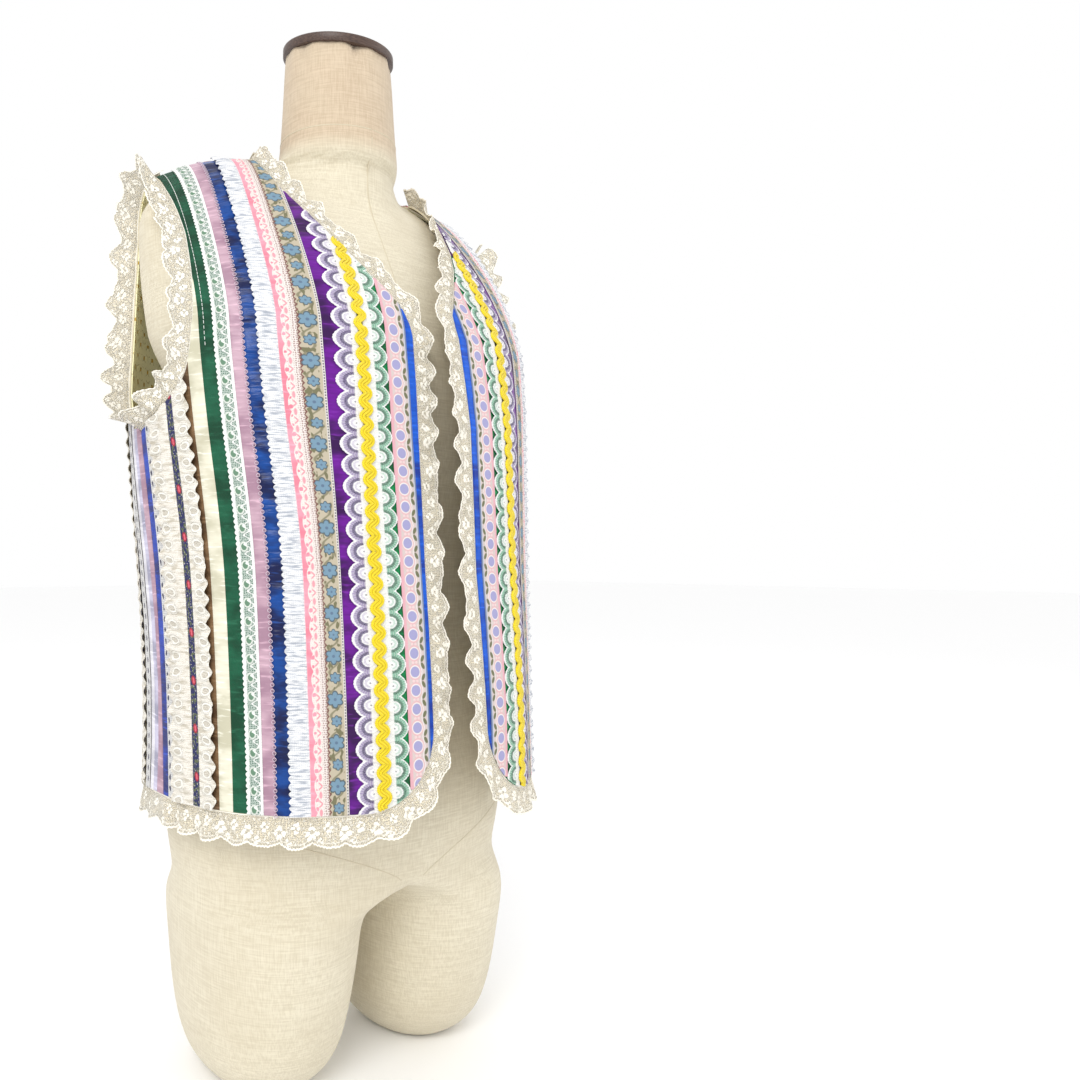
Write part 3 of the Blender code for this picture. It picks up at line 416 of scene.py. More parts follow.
RUN = {}
for chart in (-1, 0, 1):
    levels = np.linspace(0.2400, RIDGE, 900)
    middle_line = surface(chart, np.full((900, 1), 0.10), levels)[:, 0]
    gaps = np.linalg.norm(np.diff(middle_line, axis=0), axis=1)
    RUN[chart] = (levels, np.concatenate([[0], np.cumsum(gaps)]))


def run(chart, height):
    """Length along a strip from just below the hem up to a height."""
    return np.interp(height, *RUN[chart])


def outward(points, chart):
    """Unit directions off the cloth at a grid of its points on the +X side."""
    across = np.gradient(points, axis=1)
    up = np.gradient(points, axis=0)
    normal = np.cross(across, up) * (-1 if chart == 0 else 1)
    return normal / np.maximum(np.linalg.norm(normal, axis=2, keepdims=True), 1e-12)


def moved(side, strip):
    """Strip place on one front from its place in the right front's order."""
    fade = 1 - ease((strip - 0.115) / 0.040)
    return strip + (LEFT_SHIFT * fade if side > 0 else 0.0)


def unmoved(side, place):
    """The place in the right front's order of a strip place on one front."""
    order = np.linspace(-0.02, 0.30, 641)
    return np.interp(place, moved(side, order), order)


def opening(side, height):
    """Strip place of a front's cut edge: rounded corner, opening, then neck."""
    edge = np.interp(height, OPENINGS[side][:, 0], OPENINGS[side][:, 1])
    drop = np.clip(1 - (height - HEM) / CORNER[1], 0, 1)
    return edge + CORNER[0] * (1 - np.sqrt(1 - drop * drop))


def armhole(height):
    """Strip place of a front's outer edge: side seam, then armhole."""
    return np.interp(height, ARMHOLE_FRONT[:, 0], ARMHOLE_FRONT[:, 1])


def back_side(height):
    """Distance from centre back of the back's outer edge."""
    heights = np.atleast_1d(height)
    girth = np.array([half_section(min(h, CHEST))[0][-1] for h in heights])
    seam = girth - SIDE_SEAM - DART * ease((heights - 0.42) / 0.20) - SEAM
    hole = np.interp(heights, ARMHOLE_BACK[:, 0], ARMHOLE_BACK[:, 1])
    return np.where(heights <= ARMHOLE_BACK[0, 0], seam, np.minimum(seam, hole))


def back_neck(height):
    """Distance from centre back of the neck edge, or less than nothing below it."""
    return np.interp(height, BACK_NECK[:, 0], BACK_NECK[:, 1], left=-1.0)


def closed_wall(name, outer, inner, flat, plain=True):
    """A closed wall between an outer and an inner grid of points, with their flat places as its UV map.
    A plain wall keeps only the two long edges of the inner grid."""
    rows, columns = outer.shape[:2]
    if plain:
        inner = inner[:, (0, -1)]
        flat_inner = flat[:, (0, -1)]
    else:
        flat_inner = flat
    count = rows * columns
    front = np.arange(count).reshape(rows, columns)
    back = count + np.arange(rows * inner.shape[1]).reshape(rows, -1)

    def patches(grid):
        return np.stack([grid[:-1, :-1], grid[:-1, 1:], grid[1:, 1:], grid[1:, :-1]], axis=2).reshape(-1, 4)

    one = np.stack([front[:-1, 0], front[1:, 0], back[1:, 0], back[:-1, 0]], axis=1)
    two = np.stack([front[:-1, -1], back[:-1, -1], back[1:, -1], front[1:, -1]], axis=1)
    quads = np.concatenate([patches(front), patches(back)[:, ::-1], one, two])
    caps = [np.concatenate([front[0, ::-1], back[0]]), np.concatenate([front[-1], back[-1, ::-1]])]
    points = np.concatenate([outer.reshape(-1, 3), inner.reshape(-1, 3)])
    row, column = rows // 2, columns // 2
    across = outer[row, column] - outer[row, column - 1]
    up = outer[row, column] - outer[row - 1, column]
    if np.dot(np.cross(across, up), outer[row, 0] - inner[row, 0]) < 0:
        quads = quads[:, ::-1]
        caps = [cap_face[::-1] for cap_face in caps]
    corners = np.concatenate([quads.ravel()] + caps)
    starts = np.concatenate([np.arange(0, quads.size, 4), [quads.size, quads.size + len(caps[0])]])
    mesh = bpy.data.meshes.new(name)
    mesh.vertices.add(len(points))
    mesh.vertices.foreach_set("co", points.ravel())
    mesh.loops.add(len(corners))
    mesh.loops.foreach_set("vertex_index", corners)
    mesh.polygons.add(len(starts))
    mesh.polygons.foreach_set("loop_start", starts)
    mesh.update()
    places = np.concatenate([flat.reshape(-1, 2), flat_inner.reshape(-1, 2)])
    layer = mesh.uv_layers.new(name="cloth")
    layer.data.foreach_set("uv", places[corners].ravel())
    mesh.shade_smooth()
    mesh.set_sharp_from_angle(angle=math.radians(60))
    made = bpy.data.objects.new(name, mesh)
    bpy.context.scene.collection.objects.link(made)
    return made


def sewn(name, chart, side, heights, first, last, columns, lift, thick, order=None, relief=None, wave=None,
         plain=True):
    """A strip of cloth between two edges on a chart. First and last are strip places, one for each height.
    Order turns strip places into flat ones. From those, relief raises the outer face and wave moves both."""
    open_rows = np.nonzero(last - first > 0.0008)[0]
    rows = max(np.split(open_rows, np.nonzero(np.diff(open_rows) > 1)[0] + 1), key=len)
    heights, first, last = heights[rows], first[rows], last[rows]
    places = first[:, None] + (last - first)[:, None] * np.linspace(0, 1, columns)
    points = surface(chart, places, heights)
    normals = outward(points, chart)
    flat_across = order(places) if order else places * (side if chart == 0 else 1)
    flat = np.stack([flat_across, np.broadcast_to(run(chart, heights)[:, None], places.shape)], axis=2)
    push = wave(flat[:, :, 0], flat[:, :, 1]) if wave else np.zeros(places.shape)
    raised = relief(flat[:, :, 0], flat[:, :, 1]) if relief else np.zeros(places.shape)
    raised = raised * (1 - np.linspace(-1, 1, columns) ** 8)
    inner = points + normals * (lift + push)[:, :, None]
    outer = points + normals * (lift + push + thick + raised)[:, :, None]
    for grid in (inner, outer):
        grid[:, :, 0] *= side
    return closed_wall(name, outer, inner, flat, plain)


def cotton(name, colour):
    """Plain cotton with a fine even weave."""
    made = Finish(name, rough=0.85)
    x, y = made.cloth()
    weave = made.noise(made.join(x * 3, y * 3), 1.0, 1.0)
    darker = tuple(part * 0.86 for part in colour[:3]) + (1.0,)
    return made.done(made.mix(weave, colour, darker), weave, 0.0002)


NARROWEST = 0.0101


def sheet(piece, held):
    """Works out the flat size of a piece of cloth, and keeps none of it. Its flat width and length come from
    its pattern map and its flat area from the cloth itself, half of the closed wall's surface. A gathered
    piece was cut longer than it hangs, any other piece is as wide as it is made, and the width is at least
    NARROWEST. No sheet may be declared narrower than NARROWEST."""
    layer = piece.data.uv_layers["cloth"].data
    places = np.zeros(len(layer) * 2, np.float32)
    layer.foreach_get("uv", places)
    width, length = (float(np.ptp(places[k::2])) for k in (0, 1))
    width = max(width, NARROWEST)
    areas = np.zeros(len(piece.data.polygons), np.float32)
    piece.data.polygons.foreach_get("area", areas)
    area = float(areas.sum()) / 2
    if held == "gathered":
        length = max(length, area / width)
    else:
        width = max(width, area / length)
    return piece


CREAM = srgb(226, 216, 190)
fine = np.interp(np.linspace(*np.interp((HEM, RIDGE - SEAM), *RUN[-1]), 124), RUN[-1][1], RUN[-1][0])
cream_cotton = cotton("cream_cotton", CREAM)
fronts = {}
for side, word in ((-1, "right"), (1, "left")):
    panel = sewn(word + "_front_cloth", side, side, fine, opening(side, fine), armhole(fine), 60,
                 -0.0016, 0.0016, plain=False)
    fronts[side] = dress(panel, cream_cotton, "cream_cloth", word + "_front")
    sheet(panel, "draped")


def fill_armholes(piece, cloths, most, clear):
    """Pushes a form's shoulder ends out and back toward the armholes, and stops clear of the cloth."""
    trees = [BVHTree.FromPolygons([v.co for v in cloth.data.vertices],
                                  [p.vertices for p in cloth.data.polygons]) for cloth in cloths]
    for vertex in piece.data.vertices:
        x, _, z = vertex.co
        push = Vector((math.copysign(0.84, x), 0.54, 0.0))
        share = ease((abs(x) - 0.110) / 0.050) * ease((z - 0.585) / 0.050) * ease((0.752 - z) / 0.030)
        share = float(share * ease((vertex.normal.dot(push) + 0.5) / 1.0))
        if share > 0:
            hits = [tree.ray_cast(vertex.co, push) for tree in trees]
            room = min([hit[3] for hit in hits if hit[0]] + [1.0]) - clear
            vertex.co += push * max(min(most * share, room), 0.0)


def back_wall(name, lift, thick):
    """A wall over the whole back: both halves in one grid up to the neck's dip, then joined as two."""
    halves = []
    for side in (-1, 1):
        first = np.maximum(back_neck(fine), 0.0)
        halves.append(sewn(name + ("_right", "_left")[side > 0], 0, side, fine, first, back_side(fine),
                           40, lift, thick, plain=False))
    bpy.ops.object.select_all(action="DESELECT")
    for half in halves:
        half.select_set(True)
    bpy.context.view_layer.objects.active = halves[0]
    bpy.ops.object.join()
    work = bmesh.new()
    work.from_mesh(halves[0].data)
    bmesh.ops.remove_doubles(work, verts=[v for v in work.verts if abs(v.co.x) < 1e-6], dist=1e-6)
    bmesh.ops.delete(work, geom=[f for f in work.faces if all(abs(v.co.x) < 1e-6 for v in f.verts)],
                     context="FACES")
    work.to_mesh(halves[0].data)
    work.free()
    halves[0].name = name
    return halves[0]


back_cloth = dress(back_wall("back_cloth", -0.0016, 0.0016), cream_cotton, "cream_cloth", "back")
sheet(back_cloth, "draped")

# Printed lining
# Pale yellow cotton with small olive and ochre sprigs. It lines the back and shows inside the armhole.


def sprig_print():
    """Small ochre buds with olive leaves in offset rows on yellow cotton."""
    made = Finish("sprig_print", rough=0.85)
    x, y = made.cloth()
    row = made.math("FLOOR", y / 12.0)
    u = x + made.math("FLOORED_MODULO", row, 2.0) * 7.0 + made.noise(made.join(x * 0.1, y * 0.1), 1.0) * 4.0
    v = y + made.noise(made.join(x * 0.1 + 9, y * 0.1), 1.0) * 4.0
    across, along = made.near(u, 14.0), made.near(v, 12.0)
    bud = made.disc(across, along, 1.6, 2.0, 0.2)
    leaf = made.bar(across - along * 0.8, 0.5, 0.3) * made.step(along, 4.2, 3.6)
    # The yellow ground is painted lighter than the cotton's own colour: painted light for the shaded inside
    # of the vest.
    tone = made.mix(leaf * 0.7, srgb(250, 245, 200), srgb(172, 164, 100))
    tone = made.mix(bud * 0.9, tone, srgb(196, 156, 50))
    weave = made.noise(made.join(x * 3, y * 3), 1.0, 1.0)
    return made.done(tone, weave, 0.0002)


lining = dress(back_wall("printed_lining", -0.0029, 0.0010), sprig_print(), "yellow_print", "back_lining")
sheet(lining, "draped")
fill_armholes(torso, [lining, fronts[-1], fronts[1]], 0.012, 0.004)

# Satin ribbons of the fronts
# Woven satin sewn down along both edges, so it crinkles across. The royal and mauve ones carry picot loops.


def satin(name, shaded_colour, lit_colour, rough=0.3, crinkle=0.5, ribs=0.0):
    """Satin with soft folds across it and painted sheen and shade: darker in the folds, with painted
    highlights on the fine folds.
    """
    made = Finish(name, rough=rough, anisotropic=0.5, shine=0.3)
    x, y = made.cloth()
    folds = made.noise(made.join(x * 0.030, y * 0.045), 1.0, 3.0)
    fine_folds = made.noise(made.join(x * 0.06, y * 0.35), 1.0, 3.0)
    # Painted sheen and shade: broad folds mix the shaded and lit colours, and fine folds darken the tone.
    tone = made.mix(made.step(folds, 0.38, 0.60), shaded_colour, lit_colour)
    tone = made.mix(made.step(fine_folds, 0.50, 0.30) * 0.35, tone, shaded_colour)
    # Painted highlight on the crests of the fine folds.
    painted_highlight = tuple(min(part * 1.5 + 0.02, 1.0) for part in lit_colour[:3]) + (1.0,)
    tone = made.mix(made.step(fine_folds, 0.54, 0.72) * 0.6, tone, painted_highlight)
    height = folds * 0.5 + fine_folds * crinkle
    if ribs:
        rib = made.math("SINE", (y + x * 0.35) * (2 * math.pi / ribs)) * 0.5 + 0.5
        height = height + rib * 0.25
        # Painted shade in the grooves between the ribs.
        tone = made.mix(rib * 0.3, tone, shaded_colour)
    return made.done(tone, height, 0.0012)


def steps(side, gap):
    """Heights of a front's rows, evenly spaced along the strip, from the hem to the shoulder seam."""
    low, high = run(side, HEM + 0.0005), run(side, RIDGE - SEAM)
    lengths = np.linspace(low, high, int((high - low) / gap) + 1)
    return np.interp(lengths, RUN[side][1], RUN[side][0])


def scallop(length, pitch, depth, power=1.0):
    """Inset of a scalloped edge at each length: 0 at a scallop's tip and its depth between two."""
    return depth * (1 - np.abs(np.sin(math.pi * length / pitch)) ** power)


def strip(side, name, start, end, lift, thick, columns, gap, relief=None, wave=None, left=None, right=None):
    """A strip of a front between two places of the right front's order, cut at the opening and the armhole.
    Left and right give how far each long edge is set in at each height."""
    heights = steps(side, gap)
    near_edge = opening(side, heights)
    first = np.full(len(heights), float(moved(side, start))) + (left(run(side, heights)) if left else 0.0)
    last = np.full(len(heights), float(moved(side, end))) - (right(run(side, heights)) if right else 0.0)
    word = "right" if side < 0 else "left"
    made = sewn(name + "_" + word, side, side, heights, np.maximum(first, near_edge),
                np.minimum(last, armhole(heights)), columns, lift, thick,
                lambda places: unmoved(side, places), relief, wave)
    return made


def crinkles(amount, pitch, seed):
    """Relief of a crinkled ribbon: uneven waves along it."""
    def raised(x, y):
        swing = np.sin(2 * math.pi * y / pitch + 3 * np.sin(y * 31 + seed) + x * 60)
        other = np.sin(2 * math.pi * y / (pitch * 0.43) + 5 * np.sin(y * 17 + seed * 2) - x * 130)
        return amount * (0.5 + 0.36 * swing + 0.14 * other)
    return raised


SATINS = (
    # name, node, slot, start, end, lift,
    # shaded colour, lit colour (the satin's painted shade and sheen), roughness, relief, ribs in mm
    ("blue_ribbon", "blue_ribbon", "royal_blue", 0.0000, 0.0215, 0.0006,
     (0, 44, 140), (0, 84, 196), 0.34, 0.0004, 0),
    ("green_satin", None, "green_white", 0.0380, 0.0640, 0.0001,
     (0, 84, 44), (0, 132, 72), 0.32, 0.0001, 0),
    ("purple_satin", "purple_satin", "purple", 0.0640, 0.0905, 0.0003,
     (48, 2, 70), (100, 8, 138), 0.28, 0.0008, 0),
    ("pink_ribbon", "pink_ribbon", "pink", 0.1120, 0.1195, 0.0012,
     (236, 124, 142), (252, 150, 166), 0.40, 0.0002, 0),
    ("royal_satin", "royal_satin", "navy", 0.1300, 0.1452, 0.0004,
     (0, 14, 66), (0, 64, 140), 0.28, 0.0015, 0),
    ("emerald_ribbon", "emerald_ribbon", "emerald", 0.1625, 0.1792, 0.0003,
     (6, 66, 42), (22, 98, 68), 0.4, 0.0002, 0.9),
    ("cream_satin", "cream_satin", "cream_satin", 0.1788, 0.1908, 0.0005,
     (192, 188, 164), (224, 220, 200), 0.30, 0.0004, 0),
    ("brown_satin", None, "cream_satin", 0.1900, 0.2000, 0.0001,
     (84, 62, 42), (132, 104, 74), 0.4, 0.0002, 0),
    ("red_satin", None, "rosebud", 0.2370, 0.2425, 0.0002,
     (150, 12, 22), (204, 34, 44), 0.3, 0.0002, 0),
    ("blue_side", None, "navy", 0.2490, 0.2619, 0.0004,
     (0, 20, 100), (8, 56, 166), 0.3, 0.0002, 0),
)
finishes = {}
for name, node, place, start, end, lift, shaded_colour, lit_colour, rough, amount, ribs in SATINS:
    for side, word in ((-1, "right"), (1, "left")):
        cloth = strip(side, name, start, end, lift, 0.0003, 9, 0.0024,
                      crinkles(amount, 0.027, side + start * 100))
        brighter = 1.25 if side > 0 and name == "emerald_ribbon" else 1.0
        finish = satin(word + "_" + name + "_weave", srgb(*(c * brighter for c in shaded_colour)),
                       srgb(*(c * brighter for c in lit_colour)), rough, 0.5, ribs)
        finishes[name] = finish
        dress(cloth, finish, place, *([word + "_" + node] if node else []))
        sheet(cloth, "laid")


def picots(pitch):
    """Inset of an edge made of small loops."""
    return lambda length: scallop(length, pitch, 0.0018, 0.6)


# Shaded and lit colours of the mauve satin: painted shade and sheen.
mauve_finish = satin("mauve_weave", srgb(158, 124, 142), srgb(190, 158, 172), 0.36, 0.5)
finishes["mauve_satin"] = mauve_finish
for side, word in ((-1, "right"), (1, "left")):
    cloth = strip(side, "mauve_satin", 0.1440, 0.1545, 0.0010, 0.0003, 8, 0.00075,
                  crinkles(0.0003, 0.021, side), left=picots(0.0046))
    dress(cloth, mauve_finish, "mauve", word + "_mauve_satin")
    sheet(cloth, "laid")

# Hand stitches and picots
# A white running stitch holds the top of the emerald ribbon, and thread loops edge the mauve one.


def repeat_tree(name, loop):
    """Geometry Nodes: a stitch, or a thread loop, on each point of a mesh, turned by stored directions."""
    tree = bpy.data.node_groups.new(name, "GeometryNodeTree")
    tree.interface.new_socket("Geometry", in_out="INPUT", socket_type="NodeSocketGeometry")
    for label, kind in (("Length", "Float"), ("Thread Radius", "Float"), ("Thread", "Material")):
        tree.interface.new_socket(label, in_out="INPUT", socket_type="NodeSocket" + kind)
    tree.interface.new_socket("Geometry", in_out="OUTPUT", socket_type="NodeSocketGeometry")
    nodes, link = tree.nodes, tree.links.new
    given = nodes.new("NodeGroupInput")
    if loop:
        ring = nodes.new("GeometryNodeCurvePrimitiveCircle")
        ring.inputs["Resolution"].default_value = 8
        half = nodes.new("ShaderNodeMath")
        half.operation = "MULTIPLY"
        half.inputs[1].default_value = 0.5
        link(given.outputs["Length"], half.inputs[0])
        link(half.outputs[0], ring.inputs["Radius"])
        profile = nodes.new("GeometryNodeCurvePrimitiveCircle")
        profile.inputs["Resolution"].default_value = 4
        link(given.outputs["Thread Radius"], profile.inputs["Radius"])
        shape = nodes.new("GeometryNodeCurveToMesh")
        link(ring.outputs["Curve"], shape.inputs["Curve"])
        link(profile.outputs["Curve"], shape.inputs["Profile Curve"])
    else:
        shape = nodes.new("GeometryNodeMeshCylinder")
        shape.inputs["Vertices"].default_value = 6
        link(given.outputs["Thread Radius"], shape.inputs["Radius"])
        link(given.outputs["Length"], shape.inputs["Depth"])
    turned = nodes.new("FunctionNodeAxesToRotation")
    turned.primary_axis = "Z"
    turned.secondary_axis = "X"
    for label, socket in (("first", 0), ("second", 1)):
        stored = nodes.new("GeometryNodeInputNamedAttribute")
        stored.data_type = "FLOAT_VECTOR"
        stored.inputs["Name"].default_value = label
        link(stored.outputs["Attribute"], turned.inputs[socket])
    dots = nodes.new("GeometryNodeMeshToPoints")
    link(given.outputs["Geometry"], dots.inputs["Mesh"])
    placed = nodes.new("GeometryNodeInstanceOnPoints")
    link(dots.outputs["Points"], placed.inputs["Points"])
    link(shape.outputs["Mesh"], placed.inputs["Instance"])
    link(turned.outputs["Rotation"], placed.inputs["Rotation"])
    real = nodes.new("GeometryNodeRealizeInstances")
    link(placed.outputs["Instances"], real.inputs["Geometry"])
    thread = nodes.new("GeometryNodeSetMaterial")
    link(real.outputs["Geometry"], thread.inputs["Geometry"])
    link(given.outputs["Thread"], thread.inputs["Material"])
    link(thread.outputs["Geometry"], nodes.new("NodeGroupOutput").inputs["Geometry"])
    return tree


def repeated(name, tree, points, first, second, length, radius, material):
    """Points with two directions each, turned into a plain mesh by a Geometry Nodes tree."""
    mesh = bpy.data.meshes.new(name)
    mesh.from_pydata([tuple(p) for p in points], [], [])
    for label, values in (("first", first), ("second", second)):
        mesh.attributes.new(label, "FLOAT_VECTOR", "POINT").data.foreach_set("vector", np.ravel(values))
    made = bpy.data.objects.new(name, mesh)
    bpy.context.scene.collection.objects.link(made)
    modifier = made.modifiers.new("repeat", "NODES")
    modifier.node_group = tree
    sockets = {item.name: item.identifier for item in tree.interface.items_tree if item.in_out == "INPUT"}
    modifier[sockets["Length"]] = length
    modifier[sockets["Thread Radius"]] = radius
    modifier[sockets["Thread"]] = material
    plain = bpy.data.meshes.new_from_object(made.evaluated_get(bpy.context.evaluated_depsgraph_get()))
    made.modifiers.clear()
    made.data = plain
    plain.name = name
    plain.shade_smooth()
    return made


def on_cloth(chart, places, heights):
    """Points of the cloth at pairs of place and height, and directions out of it."""
    def at(shift_place, shift_height):
        return surface(chart, (places + shift_place)[:, None], heights + shift_height)[:, 0]

    path = at(0.0, 0.0)
    normals = np.cross(at(0.0015, 0.0) - at(-0.0015, 0.0), path - at(0.0, -0.0015))
    normals = normals * (-1 if chart == 0 else 1)
    return path, normals / np.linalg.norm(normals, axis=1, keepdims=True)


def thread_finish(name, dark, light):
    """Matt sewing thread."""
    made = Finish(name, rough=0.7)
    x, y, z = made.room()
    twist = made.noise(made.join(x * 2.0, y * 2.0, z * 2.0), 1.0, 1.0)
    return made.done(made.mix(twist, dark, light), twist, 0.0001)


white_thread = thread_finish("white_thread", srgb(206, 214, 206), srgb(240, 242, 238))
mauve_thread = thread_finish("mauve_thread", srgb(190, 166, 184), srgb(232, 218, 228))
stitch_tree = repeat_tree("running_stitch", False)
picot_tree = repeat_tree("picot_loops", True)
for side, word in ((-1, "right"), (1, "left")):
    levels = np.interp(np.arange(0.365, 0.590, 0.0042), RUN[side][1], RUN[side][0])
    path, normals = on_cloth(side, np.full(len(levels), 0.1742), levels)
    along = np.gradient(path, axis=0) * (side, 1, 1)
    row = repeated("emerald_stitches_" + word, stitch_tree, (path + normals * 0.0010) * (side, 1, 1), along,
                   normals * (side, 1, 1), 0.0025, 0.00028, white_thread)
    dress(row, white_thread, "white")
    levels = steps(side, 0.0046)
    path, normals = on_cloth(side, np.full(len(levels), float(moved(side, 0.1446))), levels)
    along = np.gradient(path, axis=0) * (side, 1, 1)
    row = repeated("mauve_picots_" + word, picot_tree, (path + normals * 0.0019) * (side, 1, 1),
                   normals * (side, 1, 1), along, 0.0027, 0.00030, mauve_thread)
    dress(row, mauve_thread, "mauve")

# Woven braids
# Jacquard braids with figures in coloured thread: ovals, blue flowers, rosebuds.


def oval_braid():
    """White hexagons round lilac ovals on pink, small circles, olive leaf pairs and a striped edge."""
    made = Finish("oval_braid_weave", rough=0.7)
    x, y = made.cloth()
    across = x - 32.2
    along = made.math("PINGPONG", y, 7.1)
    flip = made.math("PINGPONG", y + 7.1, 7.1)
    oval = made.disc(across, along, 4.0, 4.1, 0.08)
    ring = made.disc(across, along, 4.8, 5.1, 0.06)
    outline = made.disc(across, along, 5.6, 6.3, 0.06)
    circle = made.disc(made.math("ABSOLUTE", across) - 1.6, flip, 1.2, 1.1, 0.3)
    leaf = made.disc(x - 25.8 + flip * 0.35, flip - 2.8, 1.5, 2.6, 0.15)
    line = made.bar(x - 27.6 + flip * 0.25, 0.35, 0.3)
    weave = made.noise(made.join(x * 2.2, y * 2.2), 1.0, 1.0)
    tone = made.mix(made.step(x, 37.2, 38.0), srgb(212, 196, 192), srgb(226, 170, 180))
    tone = made.mix(outline, tone, srgb(226, 178, 182))
    tone = made.mix(ring, tone, srgb(236, 230, 226))
    tone = made.mix(oval, tone, srgb(160, 158, 202))
    tone = made.mix(circle, tone, srgb(236, 206, 206))
    tone = made.mix(line, tone, srgb(236, 230, 226))
    tone = made.mix(leaf, tone, srgb(104, 108, 72))
    tone = made.mix(made.step(x, 23.0, 22.7), tone, srgb(112, 126, 158))
    tone = made.mix(made.bar(x - 22.3, 0.3, 0.2), tone, srgb(222, 224, 228))
    tone = made.mix(weave * 0.25, tone, srgb(120, 116, 120))
    return made.done(tone, oval * 0.5 + leaf * 0.4 + circle * 0.4 + weave * 0.5, 0.0005)


def flower_braid():
    """Beige with blue six-petalled flowers, olive leaves, a maroon zigzag and a dotted white edge."""
    made = Finish("flower_braid_weave", rough=0.72)
    x, y = made.cloth()

    def blossom(middle, period, start, size):
        along = made.math("PINGPONG", y + start, period / 2)
        across = x - middle
        far = made.math("SQRT", across * across + along * along)
        turn = made.math("ARCTAN2", across, along)
        petal = made.math("ABSOLUTE", made.math("COSINE", turn * 3.0)) * (size * 0.34)
        inside = made.step(far - petal, size * 0.68, size * 0.58)
        core = made.step(far, size * 0.24, size * 0.16)
        return inside, core, made.step(far - petal, size * 0.86, size * 0.76)

    large, large_core, large_rim = blossom(98.6, 32.0, 0.0, 5.8)
    small, small_core, small_rim = blossom(98.0, 32.0, 16.0, 3.9)
    vine = made.bar(x - 98.6 - made.math("SINE", y * (math.pi / 8.0)) * 3.4, 1.0, 0.5)
    leaf = made.noise(made.join(x * 0.30, y * 0.16), 1.0, 1.0)
    leaves = made.step(leaf, 0.55, 0.60) * made.bar(x - 98.6, 5.4, 0.4)
    weave = made.noise(made.join(x * 2.0, y * 2.0), 1.0, 1.0)
    tone = made.mix(weave, srgb(176, 164, 140), srgb(206, 196, 174))
    tone = made.mix(made.most(vine * 0.8, leaves), tone, srgb(112, 110, 78))
    tone = made.mix(made.most(large_rim, small_rim), tone, srgb(72, 92, 104))
    tone = made.mix(made.most(large, small), tone, srgb(112, 148, 172))
    tone = made.mix(made.most(large_core, small_core), tone, srgb(84, 112, 140))
    zigzag = made.bar(x - 103.8 - made.math("PINGPONG", y, 2.2) * 0.8, 0.6, 0.25)
    tone = made.mix(zigzag, tone, srgb(112, 52, 56))
    tone = made.mix(made.step(x, 92.2, 91.9), tone, srgb(222, 218, 214))
    dots = made.bar(x - 91.2, 0.4, 0.2) * made.step(made.near(y, 2.2), 0.8, 0.5)
    tone = made.mix(dots, tone, srgb(70, 66, 80))
    tone = made.mix(weave * 0.3, tone, srgb(110, 104, 92))
    height = made.most(large, small) * 0.6 + leaves * 0.3 + weave * 0.4
    return made.done(tone, height, 0.0006)


def rosebud_braid():
    """Red rosebuds with pink tips and olive leaves on navy."""
    made = Finish("rosebud_braid_weave", rough=0.72)
    x, y = made.cloth()
    along = made.math("PINGPONG", y + 4.0, 18.5)
    across = x - 213.4 - made.math("SINE", y * 0.17) * 0.8
    bud = made.disc(across, along, 2.3, 3.6, 0.2)
    tip = made.disc(across, along - 1.0, 1.0, 1.4, 0.4)
    leaf = made.noise(made.join(x * 0.5, y * 0.28), 1.0, 1.0)
    leaves = made.step(leaf, 0.52, 0.57) * made.bar(x - 213.4, 3.4, 0.4)
    specks = made.noise(made.join(x * 0.8 + 40, y * 0.6), 1.0, 1.0)
    tone = made.mix(leaves, srgb(24, 30, 84), srgb(92, 102, 66))
    tone = made.mix(made.step(specks, 0.64, 0.68), tone, srgb(196, 190, 190))
    tone = made.mix(bud, tone, srgb(166, 18, 36))
    tone = made.mix(tip, tone, srgb(226, 96, 112))
    weave = made.noise(made.join(x * 2.4, y * 2.4), 1.0, 1.0)
    tone = made.mix(weave * 0.3, tone, srgb(60, 60, 84))
    return made.done(tone, bud * 0.6 + leaves * 0.4 + weave * 0.3, 0.0005)


BRAIDS = (
    # name, slot, start, end, lift, material
    ("oval_braid", "lilac_braid", 0.0205, 0.0402, 0.0009, oval_braid()),
    ("flower_braid", "beige_blue", 0.0903, 0.1057, 0.0010, flower_braid()),
    ("rosebud_braid", "rosebud", 0.2088, 0.2180, 0.0009, rosebud_braid()),
)
for name, place, start, end, lift, finish in BRAIDS:
    finishes[name] = finish
    for side, word in ((-1, "right"), (1, "left")):
        cloth = strip(side, name, start, end, lift, 0.0006, 12, 0.0024,
                      lambda x, y: 0.0002 * np.sin(y * 130) * np.sin(x * 300))
        dress(cloth, finish, place, word + "_" + name)
        sheet(cloth, "laid")

# Scalloped laces of the fronts
# Machine laces with scalloped picot edges, stitched down over the satins, which show through their net.


